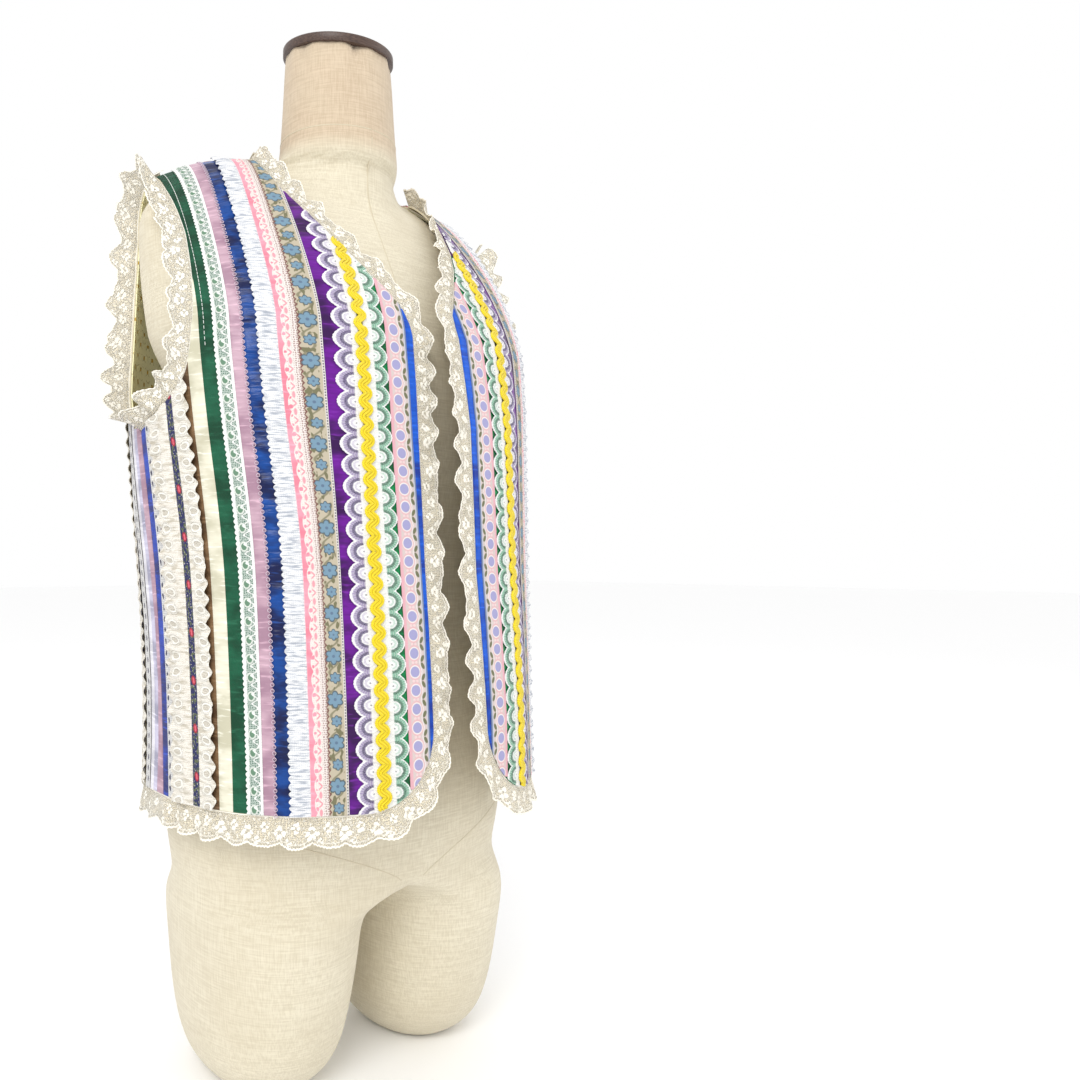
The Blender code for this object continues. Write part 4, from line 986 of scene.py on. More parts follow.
def scallop_lace(name, tips, toward, pitch, band, arc, shade):
    """Scallop lace: a picot edge, a thready band, a net arc, a white arc and heart, a straight border."""
    made = Finish(name, rough=0.75)
    x, y = made.cloth()
    depth = (x - tips) * toward - 12.6                 # millimetres in from a scallop's centre
    swing = (pitch / 2 - made.math("PINGPONG", y, pitch / 2)) * 1.25
    far = made.math("SQRT", depth * depth + swing * swing)
    turn = made.math("ARCTAN2", depth, swing)
    spokes = made.math("SINE", turn * 30.0) * 0.5 + 0.5
    wobble = made.noise(made.join(x * 0.7, y * 0.7), 1.0, 2.0)
    far = far + (wobble - 0.5) * 1.6
    holes = made.net(x, y, 1.1)
    arcs = made.bar(far - 7.0, 1.2, 0.5)
    inner = made.bar(far - 3.6, 0.9, 0.5)
    bands = made.bar(far - 9.4, 1.5, 0.6)
    spot = made.step(far, 0.9, 0.6)
    inside = made.step(depth, 0.6, -0.4)
    tone = made.mix(bands * (0.6 + spokes * 0.4), srgb(240, 239, 238), band)
    tone = made.mix(arcs * (0.7 + holes * 0.3), tone, arc)
    tone = made.mix(inner * 0.4, tone, band)
    tone = made.mix(1 - inside, tone, srgb(240, 239, 236))
    tone = made.mix(spot * 0.7, tone, srgb(70, 68, 76))
    thread = made.noise(made.join(x * 1.4, y * 1.4), 1.0, 3.0)
    tone = made.mix(made.step(thread, 0.55, 0.30) * 0.35, tone, shade)
    height = (1 - arcs) * 0.5 + thread * 0.8 - inner * 0.2
    return made.done(tone, height, 0.0009, alpha=1 - (arcs + bands * 0.5) * inside * holes * 0.45)


green_lace = scallop_lace("green_scallop_lace", 40.0, 1, 16.0, srgb(120, 182, 150), srgb(20, 112, 76),
                          srgb(104, 140, 122))
lavender_lace = scallop_lace("lavender_scallop_lace", 84.0, -1, 16.5, srgb(160, 144, 184),
                             srgb(66, 40, 108), srgb(124, 114, 144))
finishes["green_lace"] = green_lace
for side, word in ((-1, "right"), (1, "left")):
    lace = strip(side, "green_lace", 0.0400, 0.0604, 0.0012, 0.0005, 14, 0.0008,
                 lambda x, y: 0.0005 * np.abs(np.sin(y * math.pi / 0.016)) + 0.0002 * np.sin(y * 2600),
                 left=lambda h: scallop(h, 0.016, 0.0062, 0.75)
                 + 0.0005 * (1 - np.abs(np.sin(h * math.pi / 0.0023))))
    dress(lace, green_lace, "green_white", word + "_green_lace")
    sheet(lace, "laid")
    lace = strip(side, "lavender_lace", 0.0650, 0.0845, 0.0014, 0.0005, 14, 0.0008,
                 lambda x, y: 0.0006 * np.abs(np.sin(y * math.pi / 0.0165)) + 0.0002 * np.sin(y * 2500),
                 right=lambda h: scallop(h, 0.0165, 0.0062, 0.75)
                 + 0.0005 * (1 - np.abs(np.sin(h * math.pi / 0.0023))))
    dress(lace, lavender_lace, "lavender_white", word + "_lavender_lace")
    sheet(lace, "laid")


def beading_lace():
    """Cream lace with a pink ribbon drawn through its slots, net on one side, scallops on the other."""
    made = Finish("beading_lace_thread", rough=0.75)
    x, y = made.cloth()
    slots = made.disc(x - 111.2, made.near(y, 13.0), 1.1, 2.6, 0.25)
    chevron = made.bar(made.near(y + 6.5, 13.0) - (x - 109.8) * 0.9, 0.7, 0.3) * made.bar(x - 111.2, 1.4, 0.3)
    holes = made.net(x, y, 1.7, 0.14)
    netted = made.step(x, 109.2, 108.6)
    thread = made.noise(made.join(x * 1.4, y * 1.8), 1.0, 3.0)
    tone = made.mix(thread, srgb(232, 216, 208), srgb(252, 249, 246))
    tone = made.mix(made.most(slots, chevron) * 0.75, tone, srgb(238, 118, 142))
    tone = made.mix(holes * (0.15 + netted * 0.6), tone, srgb(146, 104, 98))
    return made.done(tone, thread * 0.6 - made.most(slots, holes) * 0.5, 0.0008)


def vine_lace():
    """White picot edge, dark green net, sage ovals in pairs and a white zigzag vine."""
    made = Finish("vine_lace_thread", rough=0.75)
    x, y = made.cloth()
    wobble = (made.noise(made.join(x * 0.6, y * 0.6), 1.0, 2.0) - 0.5) * 2.4
    vine = made.bar(x - 158.0 + wobble - made.math("SINE", y * (2 * math.pi / 7.0)) * 2.2, 0.9, 0.5)
    ovals = made.disc(x - 161.0 + wobble * 0.3, made.near(y, 14.0), 2.1, 2.7, 0.15)
    rims = made.disc(x - 161.0 + wobble * 0.3, made.near(y, 14.0), 3.0, 3.8, 0.15)
    loops = made.most(made.step(x + wobble * 0.4, 163.6, 164.2), made.step(x + wobble * 0.4, 156.2, 155.6))
    holes = made.net(x, y, 1.3)
    solid = made.most(vine, loops)
    thread = made.noise(made.join(x * 1.4, y * 1.8), 1.0, 3.0)
    tone = made.mix(holes, srgb(206, 216, 208), srgb(52, 98, 78))
    tone = made.mix(rims, tone, srgb(226, 230, 222))
    tone = made.mix(ovals, tone, srgb(98, 134, 108))
    tone = made.mix(solid, tone, srgb(238, 240, 236))
    tone = made.mix(made.step(thread, 0.55, 0.30) * 0.4, tone, srgb(110, 126, 116))
    return made.done(tone, made.most(solid, rims) * 0.6 + thread * 0.6, 0.0008)


def slotted_lace():
    """White beading lace with dark oblong slots."""
    made = Finish("slotted_lace_thread", rough=0.75)
    x, y = made.cloth()
    slots = made.disc(x - 248.0, made.near(y, 9.0), 1.2, 2.4, 0.2)
    holes = made.net(x, y, 1.6)
    thread = made.noise(made.join(x * 1.4, y * 1.8), 1.0, 3.0)
    tone = made.mix(thread, srgb(196, 194, 190), srgb(238, 238, 236))
    tone = made.mix(made.most(slots, holes * 0.35), tone, srgb(62, 60, 84))
    return made.done(tone, thread * 0.6 - slots * 0.6, 0.0007)


LACES = (
    # name, slot, start, end, lift, scallop pitch, scallop depth, scallops toward the side seam, material
    ("beading_lace", "pink_cream", 0.1053, 0.1158, 0.0012, 0.013, 0.0022, True, beading_lace()),
    ("vine_lace", "green_vine", 0.1538, 0.1672, 0.0013, 0.0042, 0.0016, True, vine_lace()),
    ("slotted_lace", "white", 0.2412, 0.2510, 0.0012, 0.0090, 0.0022, False, slotted_lace()),
)
for name, place, start, end, lift, pitch, depth, outward_scallops, finish in LACES:
    finishes[name] = finish
    for side, word in ((-1, "right"), (1, "left")):
        def edge(h, pitch=pitch, depth=depth):
            return scallop(h, pitch, depth, 0.7)
        lace = strip(side, name, start, end, lift, 0.0005, 9, 0.0009,
                     lambda x, y: 0.0003 * np.sin(y * 900) * np.sin(x * 700),
                     left=None if outward_scallops else edge, right=edge if outward_scallops else None)
        dress(lace, finish, place, word + "_" + name)
        sheet(lace, "laid")

# Gathered ruffles
# Strips gathered along one edge, so the free edge waves and the cloth puckers from the seam. White cotton on
# the fronts' middle, and cream net with scallops on both sides of the rosebud braid.


def gathered(name, dark, light, loops=None):
    """Puckered thin cloth with painted shade: darker in the gathers, in its holes and in its eyelets. Loops
    is the place of a row of netted eyelets.
    """
    made = Finish(name, rough=0.8)
    x, y = made.cloth()
    pucker = made.noise(made.join(x * 0.10, y * (0.75 if loops is None else 0.34)), 1.0, 3.0)
    thread = made.noise(made.join(x * 1.2, y * 1.6), 1.0, 3.0)
    # Painted shade in the gathers: the dark colour fills the puckers' hollows.
    tone = made.mix(made.step(pucker, 0.34, 0.56), dark, light)
    height = pucker * 0.7 + thread * 0.5
    if loops is None:
        holes = made.net(x, y, 1.5)
        # Painted shade in the net's holes.
        tone = made.mix(holes * 0.3, tone, srgb(150, 156, 168))
    else:
        along = made.near(y, 12.5)
        holes = made.net(x, y, 1.4)
        eyelet = made.disc(x - loops, along, 3.4, 2.1, 0.15)
        rim = made.disc(x - loops, along, 5.0, 3.7, 0.12)
        outer = made.disc(x - loops, along, 6.4, 5.0, 0.10) - made.disc(x - loops, along, 5.6, 4.3, 0.10)
        # Painted shade in the net's holes.
        tone = made.mix(holes * (1 - rim) * 0.45, tone, srgb(168, 156, 134))
        tone = made.mix(made.most(outer, rim) * 0.7, tone, srgb(250, 248, 240))
        # Painted shade in the eyelets.
        tone = made.mix(eyelet * (0.35 + holes * 0.4), tone, srgb(156, 144, 122))
        height = height + made.most(rim, outer) * 0.6 - eyelet * 0.6
    tone = made.mix(made.step(thread, 0.55, 0.30) * 0.3, tone, dark)
    return made.done(tone, height, 0.0013)


# The darker colour of each gathered finish is painted shade in its gathers, holes and eyelets.
RUFFLES = (
    # name, slot, start, end, free edge toward the side, wave length, wave height, scallop pitch, material
    ("white_ruffle", "white", 0.1185, 0.1345, True, 0.0105, 0.0030, 0.0052,
     gathered("white_gathers", srgb(168, 174, 186), srgb(248, 248, 248))),
    ("inner_ruffle", "cream_lace", 0.1925, 0.2098, False, 0.0125, 0.0046, 0.0125,
     gathered("cream_gathers", srgb(206, 199, 184), srgb(250, 247, 239), 199.5)),
    ("outer_ruffle", "cream_lace", 0.2170, 0.2412, True, 0.0125, 0.0050, 0.0125,
     gathered("cream_net_gathers", srgb(202, 195, 180), srgb(248, 244, 236), 231.5)),
)
for name, place, start, end, toward_side, period, height, pitch, finish in RUFFLES:
    finishes[name] = finish
    def loose(x, start=start, end=end, toward_side=toward_side):
        share = np.clip((x - start) / (end - start), 0, 1)
        return share if toward_side else 1 - share

    def swell(x, y, loose=loose, period=period, height=height):
        swing = np.sin(2 * math.pi * y / period + 1.8 * np.sin(y * 47) + 1.1 * np.sin(y * 19 + 2))
        return height * loose(x) ** 0.8 * (0.62 + 0.38 * swing)

    def pleats(x, y, loose=loose):
        fine_fold = np.sin(2 * math.pi * y / 0.0031 + 4 * np.sin(y * 83) + x * 120)
        return 0.00035 * (1 - 0.4 * loose(x)) * fine_fold + 0.0004

    def edge(h, pitch=pitch):
        return scallop(h + 0.002 * np.sin(h * 70), pitch, 0.0022, 0.8)

    for side, word in ((-1, "right"), (1, "left")):
        cloth = strip(side, name, start, end, 0.0012, 0.0004, 14, 0.0009, pleats, swell,
                      left=None if toward_side else edge, right=edge if toward_side else None)
        dress(cloth, finish, place, word + "_" + name)
        sheet(cloth, "gathered")

# Yellow gimp
# Three twisted yellow cords side by side, couched down in an even serpentine over the meeting of two laces.


def round_bar(name, path, normals, radius):
    """A cord of round section along a path of points, its ends closed."""
    tangents = np.gradient(path, axis=0)
    tangents /= np.linalg.norm(tangents, axis=1, keepdims=True)
    across = np.cross(tangents, normals)
    across /= np.linalg.norm(across, axis=1, keepdims=True)
    up = np.cross(across, tangents)
    sides = 6
    turns = np.linspace(0, 2 * math.pi, sides, endpoint=False)
    rings = (path[:, None] + across[:, None] * (np.cos(turns) * radius)[None, :, None]
             + up[:, None] * (np.sin(turns) * radius)[None, :, None])
    count = len(path)
    number = np.arange(count * sides).reshape(count, sides)
    following = np.roll(number, -1, axis=1)
    quads = np.stack([number[:-1], following[:-1], following[1:], number[1:]], axis=2).reshape(-1, 4)
    faces = quads.tolist() + [number[0, ::-1].tolist(), number[-1].tolist()]
    lengths = np.concatenate([[0], np.cumsum(np.linalg.norm(np.diff(path, axis=0), axis=1))])
    mesh = bpy.data.meshes.new(name)
    mesh.from_pydata(rings.reshape(-1, 3).tolist(), [], faces)
    layer = mesh.uv_layers.new(name="cloth")
    flat = np.stack([np.tile(np.arange(sides) * 0.0005, count), np.repeat(lengths, sides)], axis=1)
    for loop in mesh.loops:
        layer.data[loop.index].uv = flat[loop.vertex_index]
    work = bmesh.new()
    work.from_mesh(mesh)
    bmesh.ops.recalc_face_normals(work, faces=work.faces[:])
    work.to_mesh(mesh)
    work.free()
    mesh.shade_smooth()
    made = bpy.data.objects.new(name, mesh)
    bpy.context.scene.collection.objects.link(made)
    return made


def joined(name, parts):
    """Several meshes as one piece."""
    bpy.ops.object.select_all(action="DESELECT")
    for part in parts:
        part.select_set(True)
    bpy.context.view_layer.objects.active = parts[0]
    bpy.ops.object.join()
    parts[0].name = name
    return parts[0]


def twisted_yarn():
    """Bright yellow yarn with slanting plies."""
    made = Finish("yellow_yarn", rough=0.62, sheen=0.2)
    x, y = made.cloth()
    ply = made.math("SINE", y * 5.2 + x * 3.0) * 0.5 + 0.5
    return made.done(made.mix(ply, srgb(232, 196, 0), srgb(255, 238, 16)), ply, 0.0004)


yarn = twisted_yarn()
for side, word in ((-1, "right"), (1, "left")):
    cords = []
    heights = steps(side, 0.0008)
    phase = 2 * math.pi * run(side, heights) / 0.0123
    slope = 0.0028 * np.cos(phase) * 2 * math.pi / 0.0123
    for shift in (-0.0022, 0.0, 0.0022):
        places = float(moved(side, 0.0630)) + 0.0028 * np.sin(phase) + shift / np.hypot(1, slope)
        levels = np.minimum(heights - shift * slope / np.hypot(1, slope), RIDGE - SEAM)
        inside = (places > opening(side, levels) + 0.0012) & (levels > HEM + 0.001)
        path, normals = on_cloth(side, places[inside], levels[inside])
        over = (path + normals * 0.0030) * (side, 1, 1)
        cords.append(round_bar("cord", over, normals * (side, 1, 1), 0.00130))
    dress(joined("yellow_gimp_" + word, cords), yarn, "yellow", word + "_yellow_gimp")

# Laces along the edges
# Cream lace with flowers and a scalloped picot edge, sewn by its straight side under the cloth's edge.
# It goes along each front's hem, opening and neck, round each armhole, and along the back's hem and neck.


def ring_lace(name, dark, light, repeat=24.0, width=19.0):
    """Fine net with a cluster of small flowers in each scallop, leaves between them and a picot border."""
    made = Finish(name, rough=0.8)
    x, y = made.cloth()
    drift = made.noise(made.join(x * 0.25, y * 0.25), 1.0, 2.0) - 0.5
    u, v = x + drift * 4.0, y + drift * 7.0

    def flower(middle, start, size):
        along = made.math("PINGPONG", v + start, repeat / 2)
        across = u - middle
        far = made.math("SQRT", along * along + across * across)
        petals = made.math("ABSOLUTE", made.math("COSINE", made.math("ARCTAN2", across, along) * 2.5))
        whole = made.step(far - petals * size * 0.35, size * 0.70, size * 0.55)
        veins = made.step(petals, 0.10, 0.28)
        return whole * veins * (1 - made.step(far, size * 0.30, size * 0.18))

    flowers = made.most(flower(width * 0.58, 0.0, 5.0), flower(width * 0.36, repeat * 0.5, 3.6))
    flowers = made.most(flowers, flower(width * 0.80, repeat * 0.27, 2.6))
    border = made.step(x, width * 0.91, width * 0.95)
    rows = made.bar(x - width * 0.84, 0.35, 0.3)
    seam_edge = made.step(x, 1.0, 0.5)
    curls = made.noise(made.join(x * 0.42, y * 0.42), 1.0, 1.0)
    curls = made.bar((curls - 0.5) * 10.0, 0.35, 0.35)
    solid = made.most(made.most(flowers, border), made.most(made.most(seam_edge, rows), curls))
    holes = made.net(x, y, 1.3)
    thread = made.noise(made.join(x * 1.4, y * 1.4), 1.0, 3.0)
    tone = made.mix(solid, dark, light)
    tone = made.mix(made.step(thread, 0.58, 0.30) * 0.45, tone, dark)
    gap = holes * made.step(solid, 0.7, 0.2)
    tone = made.mix(gap * 0.25, tone, srgb(206, 192, 160))
    return made.done(tone, solid * 0.7 + thread * 0.6, 0.0012, alpha=1 - gap * 0.6)


def along_edge(chart, places, heights, gap):
    """Stations every gap along an edge: points, directions out of the cloth, lengths and heights."""
    path, _ = on_cloth(chart, places, heights)
    lengths = np.concatenate([[0], np.cumsum(np.linalg.norm(np.diff(path, axis=0), axis=1))])
    stations = np.linspace(0, lengths[-1], int(lengths[-1] / gap) + 1)
    heights = np.interp(stations, lengths, heights)
    path, normals = on_cloth(chart, np.interp(stations, lengths, places), heights)
    return path, normals, stations, heights


def smooth_rows(values, reach):
    """Running mean along the first axis."""
    padded = np.pad(values, ((reach, reach), (0, 0)), mode="edge")
    sums = np.cumsum(np.vstack([np.zeros((1, values.shape[1])), padded]), axis=0)
    return (sums[2 * reach + 1:] - sums[:-2 * reach - 1]) / (2 * reach + 1)


def lace_band(name, side, path, normals, stations, turn, widths, tilts, wave, repeat, drawn):
    """Lace along stations: it starts under the edge, and its free edge is scalloped, tilted and waved."""
    tangents = smooth_rows(np.gradient(path, axis=0), 6)
    tangents /= np.linalg.norm(tangents, axis=1, keepdims=True)
    off = np.cross(normals, tangents) * turn
    off /= np.linalg.norm(off, axis=1, keepdims=True)
    off = smooth_rows(off, 4)
    normals = smooth_rows(normals, 4)
    reach = np.linspace(0, 1, 12)[None, :]
    loops = np.sin(2 * math.pi * stations / 0.0026) > 0
    cut = widths - scallop(stations, repeat, 0.0042, 0.8) - 0.0007 * loops
    spread = cut[:, None] * reach
    free = np.clip(spread / widths[:, None], 0, 1)
    stand = wave * free * np.sin(2 * math.pi * stations / 0.031 + 2 * np.sin(stations * 23))[:, None]
    stand = stand + 0.0004 * (free * (1 + np.sin(2 * math.pi * stations / 0.009))[:, None] - 1)
    tilt = np.radians(tilts)[:, None]
    along_off = np.where(spread > 0, spread * np.cos(tilt), spread)
    along_out = np.where(spread > 0, spread * np.sin(tilt), 0.0) + stand
    inner = path[:, None] + off[:, None] * along_off[:, :, None] + normals[:, None] * along_out[:, :, None]
    outer = inner + normals[:, None] * 0.0006
    flat = np.stack([np.broadcast_to(drawn * reach, along_off.shape),
                     np.broadcast_to(stations[:, None] * side, along_off.shape)], axis=2)
    for grid in (inner, outer):
        grid[:, :, 0] *= side
    return closed_wall(name, outer, inner, flat, False)


def toward_up(normals, heights):
    """Directions out of the cloth, turned up toward the shoulder seam so that two laces meet there."""
    top = heights.max()
    turned = normals + ease((heights - top + 0.024) / 0.022)[:, None] * np.array([[0.0, 0.0, 8.0]])
    return turned / np.linalg.norm(turned, axis=1, keepdims=True)


front_lace_finish = ring_lace("front_edge_lace", srgb(242, 232, 208), srgb(255, 250, 238))
hem_lace_finish = ring_lace("hem_lace", srgb(238, 230, 210), srgb(254, 250, 240), 28.0, 24.0)
armhole_lace_finish = ring_lace("armhole_lace", srgb(244, 235, 213), srgb(255, 251, 240), 22.0, 21.0)
for side, word in ((-1, "right"), (1, "left")):
    start = float(opening(side, HEM))
    hem_places = np.linspace(SIDE_SEAM, start, 160)[:-1]
    rise = HEM + (0.834 - HEM) * np.linspace(0, 1, 600) ** 1.4
    places = np.concatenate([hem_places, opening(side, rise)])
    heights = np.concatenate([np.full(len(hem_places), HEM), rise])
    path, normals, stations, heights = along_edge(side, places, heights, PITCH)
    widths = 0.0190 + 0.0050 * ease((HEM + 0.05 - heights) / 0.05) - 0.0020 * ease((heights - 0.70) / 0.08)
    tilts = 4 + 56 * ease((heights - 0.74) / 0.08)
    normals = toward_up(normals, heights)
    lace = lace_band("front_lace_" + word, side, path, normals, stations, 1, widths, tilts,
                     0.0032, 0.024, 0.019)
    dress(lace, front_lace_finish, "cream_lace", word + "_front_lace")
    sheet(lace, "gathered")

    down = np.linspace(RIDGE - SEAM, 0.5452, 260)
    front_path, front_normals, _, front_heights = along_edge(side, armhole(down), down, PITCH)
    back_path, back_normals, _, back_heights = along_edge(0, back_side(down[::-1]), down[::-1], PITCH)
    path = np.concatenate([front_path, back_path])
    normals = np.concatenate([front_normals, back_normals])
    lengths = np.concatenate([[0], np.cumsum(np.linalg.norm(np.diff(path, axis=0), axis=1))])
    turned = lengths / lengths[-1]
    tilts = 12 + 66 * ease((turned - 0.34) / 0.22) - 28 * ease((turned - 0.92) / 0.08)
    tilts += 38 * ease((0.07 - turned) / 0.07)
    around = toward_up(smooth_rows(normals, 24), np.concatenate([front_heights, back_heights]))
    widths = np.full(len(path), 0.0210)
    lace = lace_band("armhole_lace_" + word, side, path, around, lengths, 1, widths, tilts,
                     0.0052, 0.022, 0.021)
    dress(lace, armhole_lace_finish, "cream_lace", word + "_armhole_lace")
    sheet(lace, "gathered")

for name, base, width, tilt, turn, node in (("hem_lace_back", "hem", 0.024, 6, 1, "back_hem_lace"),
                                            ("neck_lace_back", "neck", 0.017, 60, -1, "back_neck_lace")):
    halves = []
    for side in (-1, 1):
        if base == "hem":
            places = np.linspace(0.0001, float(back_side(HEM)[0]), 200)
            heights = np.full(200, HEM)
        else:
            heights = np.linspace(0.7901, 0.834, 200)
            places = np.maximum(back_neck(heights), 0.0001)
        path, normals, stations, heights = along_edge(0, places, heights, PITCH)
        if base == "neck":
            normals = toward_up(normals, heights)
        widths = np.full(len(path), width)
        tilts = np.full(len(path), float(tilt))
        halves.append(lace_band(name + str(side), side, path, normals, stations, turn, widths, tilts,
                                0.0020, 0.024, 0.024))
    lace = dress(joined(name, halves), hem_lace_finish, "cream_lace", node)
    sheet(lace, "gathered")

# Ribbons of the back
# The back isn't in the photograph. It repeats the fronts' ribbons, braids and laces, a little narrower,
# from the middle to the sides, with plain satins beside the side seams.

# Shaded and lit colours of two side satins: painted shade and sheen.
for name, shaded_colour, lit_colour in (("lavender_side", (148, 146, 168), (196, 192, 214)),
                           ("grey_side", (196, 194, 202), (224, 222, 228))):
    finishes[name] = satin(name + "_weave", srgb(*shaded_colour), srgb(*lit_colour), 0.3, 0.3)
BACK = (
    # group, slot, then each strip's start, end, finish, its start and end in the fronts' order, and the
    # pitch and depth of its scallops: toward the side above 0, toward the middle below 0
    ("inner", "purple", ((0.0112, 0.0215, "blue_ribbon", 0.0100, 0.0205, 0, 0),
                         (0.0215, 0.0402, "oval_braid", 0.0205, 0.0402, 0, 0),
                         (0.0402, 0.0575, "green_lace", 0.0400, 0.0604, -0.016, 0.0050),
                         (0.0560, 0.0659, "purple_satin", 0.0800, 0.0905, 0, 0))),
    ("middle", "pink_cream", ((0.0662, 0.0812, "flower_braid", 0.0903, 0.1057, 0, 0),
                              (0.0812, 0.0917, "beading_lace", 0.1053, 0.1158, 0.013, 0.0018),
                              (0.0900, 0.0955, "pink_ribbon", 0.1120, 0.1195, 0, 0),
                              (0.0955, 0.1115, "white_ruffle", 0.1185, 0.1345, 0.0052, 0.0020),
                              (0.1100, 0.1240, "royal_satin", 0.1300, 0.1452, 0, 0),
                              (0.1235, 0.1319, "mauve_satin", 0.1440, 0.1545, -0.0046, 0.0014))),
    ("outer", "emerald", ((0.1322, 0.1456, "vine_lace", 0.1538, 0.1672, 0.0042, 0.0016),
                          (0.1445, 0.1570, "emerald_ribbon", 0.1660, 0.1792, 0, 0),
                          (0.1566, 0.1680, "cream_satin", 0.1788, 0.1908, 0, 0),
                          (0.1672, 0.1850, "inner_ruffle", 0.1925, 0.2098, -0.0125, 0.0022),
                          (0.1846, 0.1938, "rosebud_braid", 0.2088, 0.2180, 0, 0))),
    ("side", "cream_satin", ((0.1942, 0.2130, "outer_ruffle", 0.2170, 0.2412, 0.0125, 0.0022),
                             (0.2130, 0.2230, "slotted_lace", 0.2412, 0.2510, -0.009, 0.0018),
                             (0.2225, 0.2300, "grey_side", 0.2225, 0.2300, 0, 0),
                             (0.2300, 0.2372, "lavender_side", 0.2300, 0.2372, 0, 0),
                             (0.2372, 0.2500, "mauve_satin", 0.1440, 0.1545, 0, 0))),
)


def back_levels(gap):
    """Heights of the back's rows, evenly spaced along the strip."""
    low, high = run(0, HEM + 0.0005), run(0, RIDGE - SEAM)
    return np.interp(np.linspace(low, high, int((high - low) / gap) + 1), RUN[0][1], RUN[0][0])


for group, place, strips in BACK:
    for side, word in ((-1, "right"), (1, "left")):
        pieces = []
        for number, (start, end, name, from_place, to_place, pitch, depth) in enumerate(strips):
            levels = back_levels(0.0012 if pitch else 0.0040)
            cut = scallop(run(0, levels), abs(pitch), depth, 0.75) if pitch else 0.0
            first = np.maximum(start + 0.0001 + (cut if pitch < 0 else 0.0), back_neck(levels))
            last = np.minimum(end - 0.0001 - (cut if pitch > 0 else 0.0), back_side(levels))

            def same(places, start=start, end=end, from_place=from_place, to_place=to_place):
                return from_place + (places - start) * (to_place - from_place) / (end - start)

            def swell(x, y, loose=pitch, from_place=from_place, to_place=to_place):
                share = np.clip((x - from_place) / (to_place - from_place), 0, 1)
                share = share if loose > 0 else 1 - share
                swing = np.sin(2 * math.pi * y / 0.012 + 1.8 * np.sin(y * 47))
                return 0.0028 * share ** 0.8 * (0.6 + 0.4 * swing)

            lift = 0.0014 if pitch else 0.0003
            pieces.append(sewn("strip", 0, side, levels, first, last, 9, lift, 0.0005, same,
                               crinkles(0.0003, 0.020, number), swell if "ruffle" in name else None))
            pieces[-1].data.materials.append(finishes[name])
        whole = joined("back_" + group + "_ribbons_" + word, pieces)
        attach(whole, "root")
        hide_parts(word + "_back_" + group + "_ribbons")
        sheet(whole, "laid")

middle_heights = np.linspace(HEM + 0.0005, 0.7895, 90)
halves = [sewn("ribbon", 0, side, middle_heights, np.zeros(90), np.full(90, 0.0108), 5, 0.0004, 0.0004)
          for side in (-1, 1)]
# The yellow satin's two colours are its painted shade and sheen.
middle_ribbon = dress(joined("back_centre_ribbon_cloth", halves),
                      satin("back_middle_weave", srgb(238, 200, 10), srgb(255, 224, 20), 0.4, 0.3), "yellow",
                      "back_centre_ribbon")
sheet(middle_ribbon, "laid")

# Seams of the form's linen
# The linen is sewn round the neck, down the middle of the chest and along each groin, and the seams are
# pressed flat.

body_tree = BVHTree.FromPolygons([v.co for v in torso.data.vertices],
                                 [p.vertices for p in torso.data.polygons])
seam_finish = thread_finish("linen_seam", srgb(196, 184, 158), srgb(212, 202, 178))


def body_seam(name, origins, aims, radius):
    """A flat seam along the body where rays from the origins toward the aims meet it."""
    path, normals = [], []
    for origin, aim in zip(origins, aims):
        place, normal, _, _ = body_tree.ray_cast(Vector(origin), (Vector(aim) - Vector(origin)).normalized())
        if place:
            path.append(place)
            normals.append(normal)
    path, normals = smooth_rows(np.array(path), 2), np.array(normals)
    return round_bar(name, path - normals * (radius * 0.35), normals, radius)


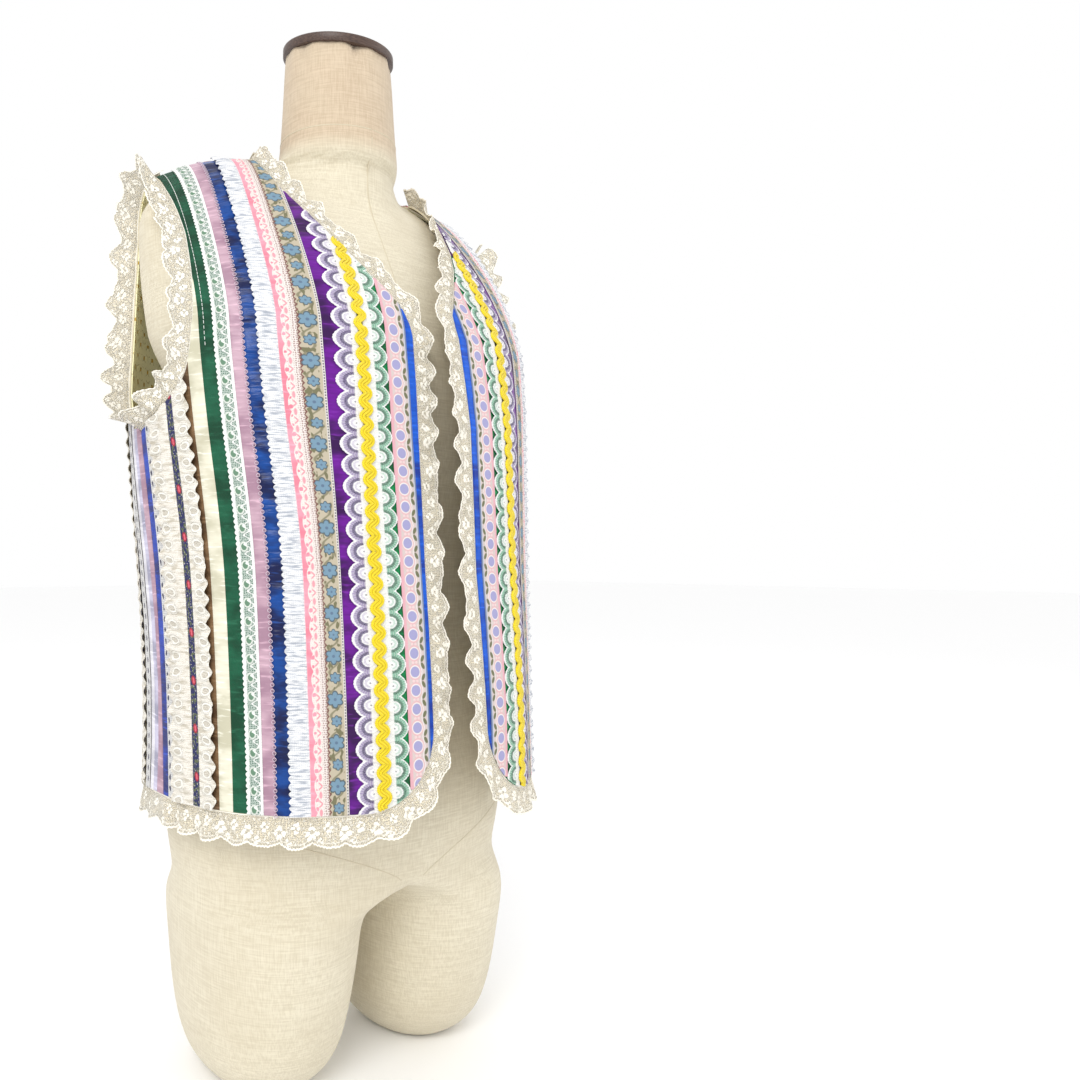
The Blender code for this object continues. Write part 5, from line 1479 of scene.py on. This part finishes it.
turns = np.linspace(0.02, 2 * math.pi + 0.02, 181)
rings = [(0.3 * math.sin(t), AXIS_Y - 0.3 * math.cos(t), 0.816) for t in turns]
seams = [body_seam("neck_seam", rings, [(0, AXIS_Y, 0.816)] * 181, 0.0007)]
rows = np.linspace(0.812, 0.240, 140)
starts = [(0.0, -0.5, z) for z in rows]
seams.append(body_seam("front_seam", starts, [(0.0, 0.0, z) for z in rows], 0.0006))
for side in (-1, 1):
    shares = np.linspace(0, 1, 60)
    groin = [(side * (0.010 + 0.150 * t), 0.176 + 0.060 * t ** 0.8) for t in shares]
    starts = [(x, -0.5, z) for x, z in groin]
    seams.append(body_seam("groin_seam", starts, [(x, 0.0, z) for x, z in groin], 0.0006))
dress(joined("linen_seams", seams), seam_finish, "linen")

# Floor, light and camera
# A pale floor, a large soft light at the upper left and a weaker one at the right. The camera is the
# photograph's, which shows the vest from its right front with the object left of the middle.

bpy.ops.mesh.primitive_plane_add(size=30, location=(0, 0, 0))
floor = bpy.context.object
floor.name = "floor"
floor_finish = Finish("plain_floor", rough=0.9)
floor.data.materials.append(floor_finish.done(srgb(252, 252, 252)))


def soft_light(name, place, target, size, power):
    """A square area light aimed at a point."""
    light = bpy.data.lights.new(name, "AREA")
    light.shape = "SQUARE"
    light.size = size
    light.energy = power
    made = bpy.data.objects.new(name, light)
    made.location = place
    made.rotation_euler = (Vector(target) - Vector(place)).to_track_quat("-Z", "Y").to_euler()
    bpy.context.scene.collection.objects.link(made)
    return made


soft_light("key_light", (-1.9, -1.6, 2.2), (0, 0, 0.5), 1.3, 38)
soft_light("fill_light", (2.4, -1.6, 1.2), (0, 0, 0.5), 2.0, 10)
world = bpy.data.worlds.new("studio")
world.use_nodes = True
world.node_tree.nodes["Background"].inputs["Color"].default_value = (1.0, 1.0, 1.0, 1.0)
world.node_tree.nodes["Background"].inputs["Strength"].default_value = 1.0
bpy.context.scene.world = world
bpy.context.scene.view_settings.view_transform = "Standard"

camera_data = bpy.data.cameras.new("camera")
camera_data.sensor_width = 36
camera_data.lens = 31.29
camera_data.shift_x = 0.187
camera_data.shift_y = 0.0193
camera = bpy.data.objects.new("camera", camera_data)
camera.location = (-0.496, AXIS_Y - 0.706, 0.439)
camera.rotation_euler = (math.radians(90), 0, math.radians(-35.09))
bpy.context.scene.collection.objects.link(camera)
bpy.context.scene.camera = camera
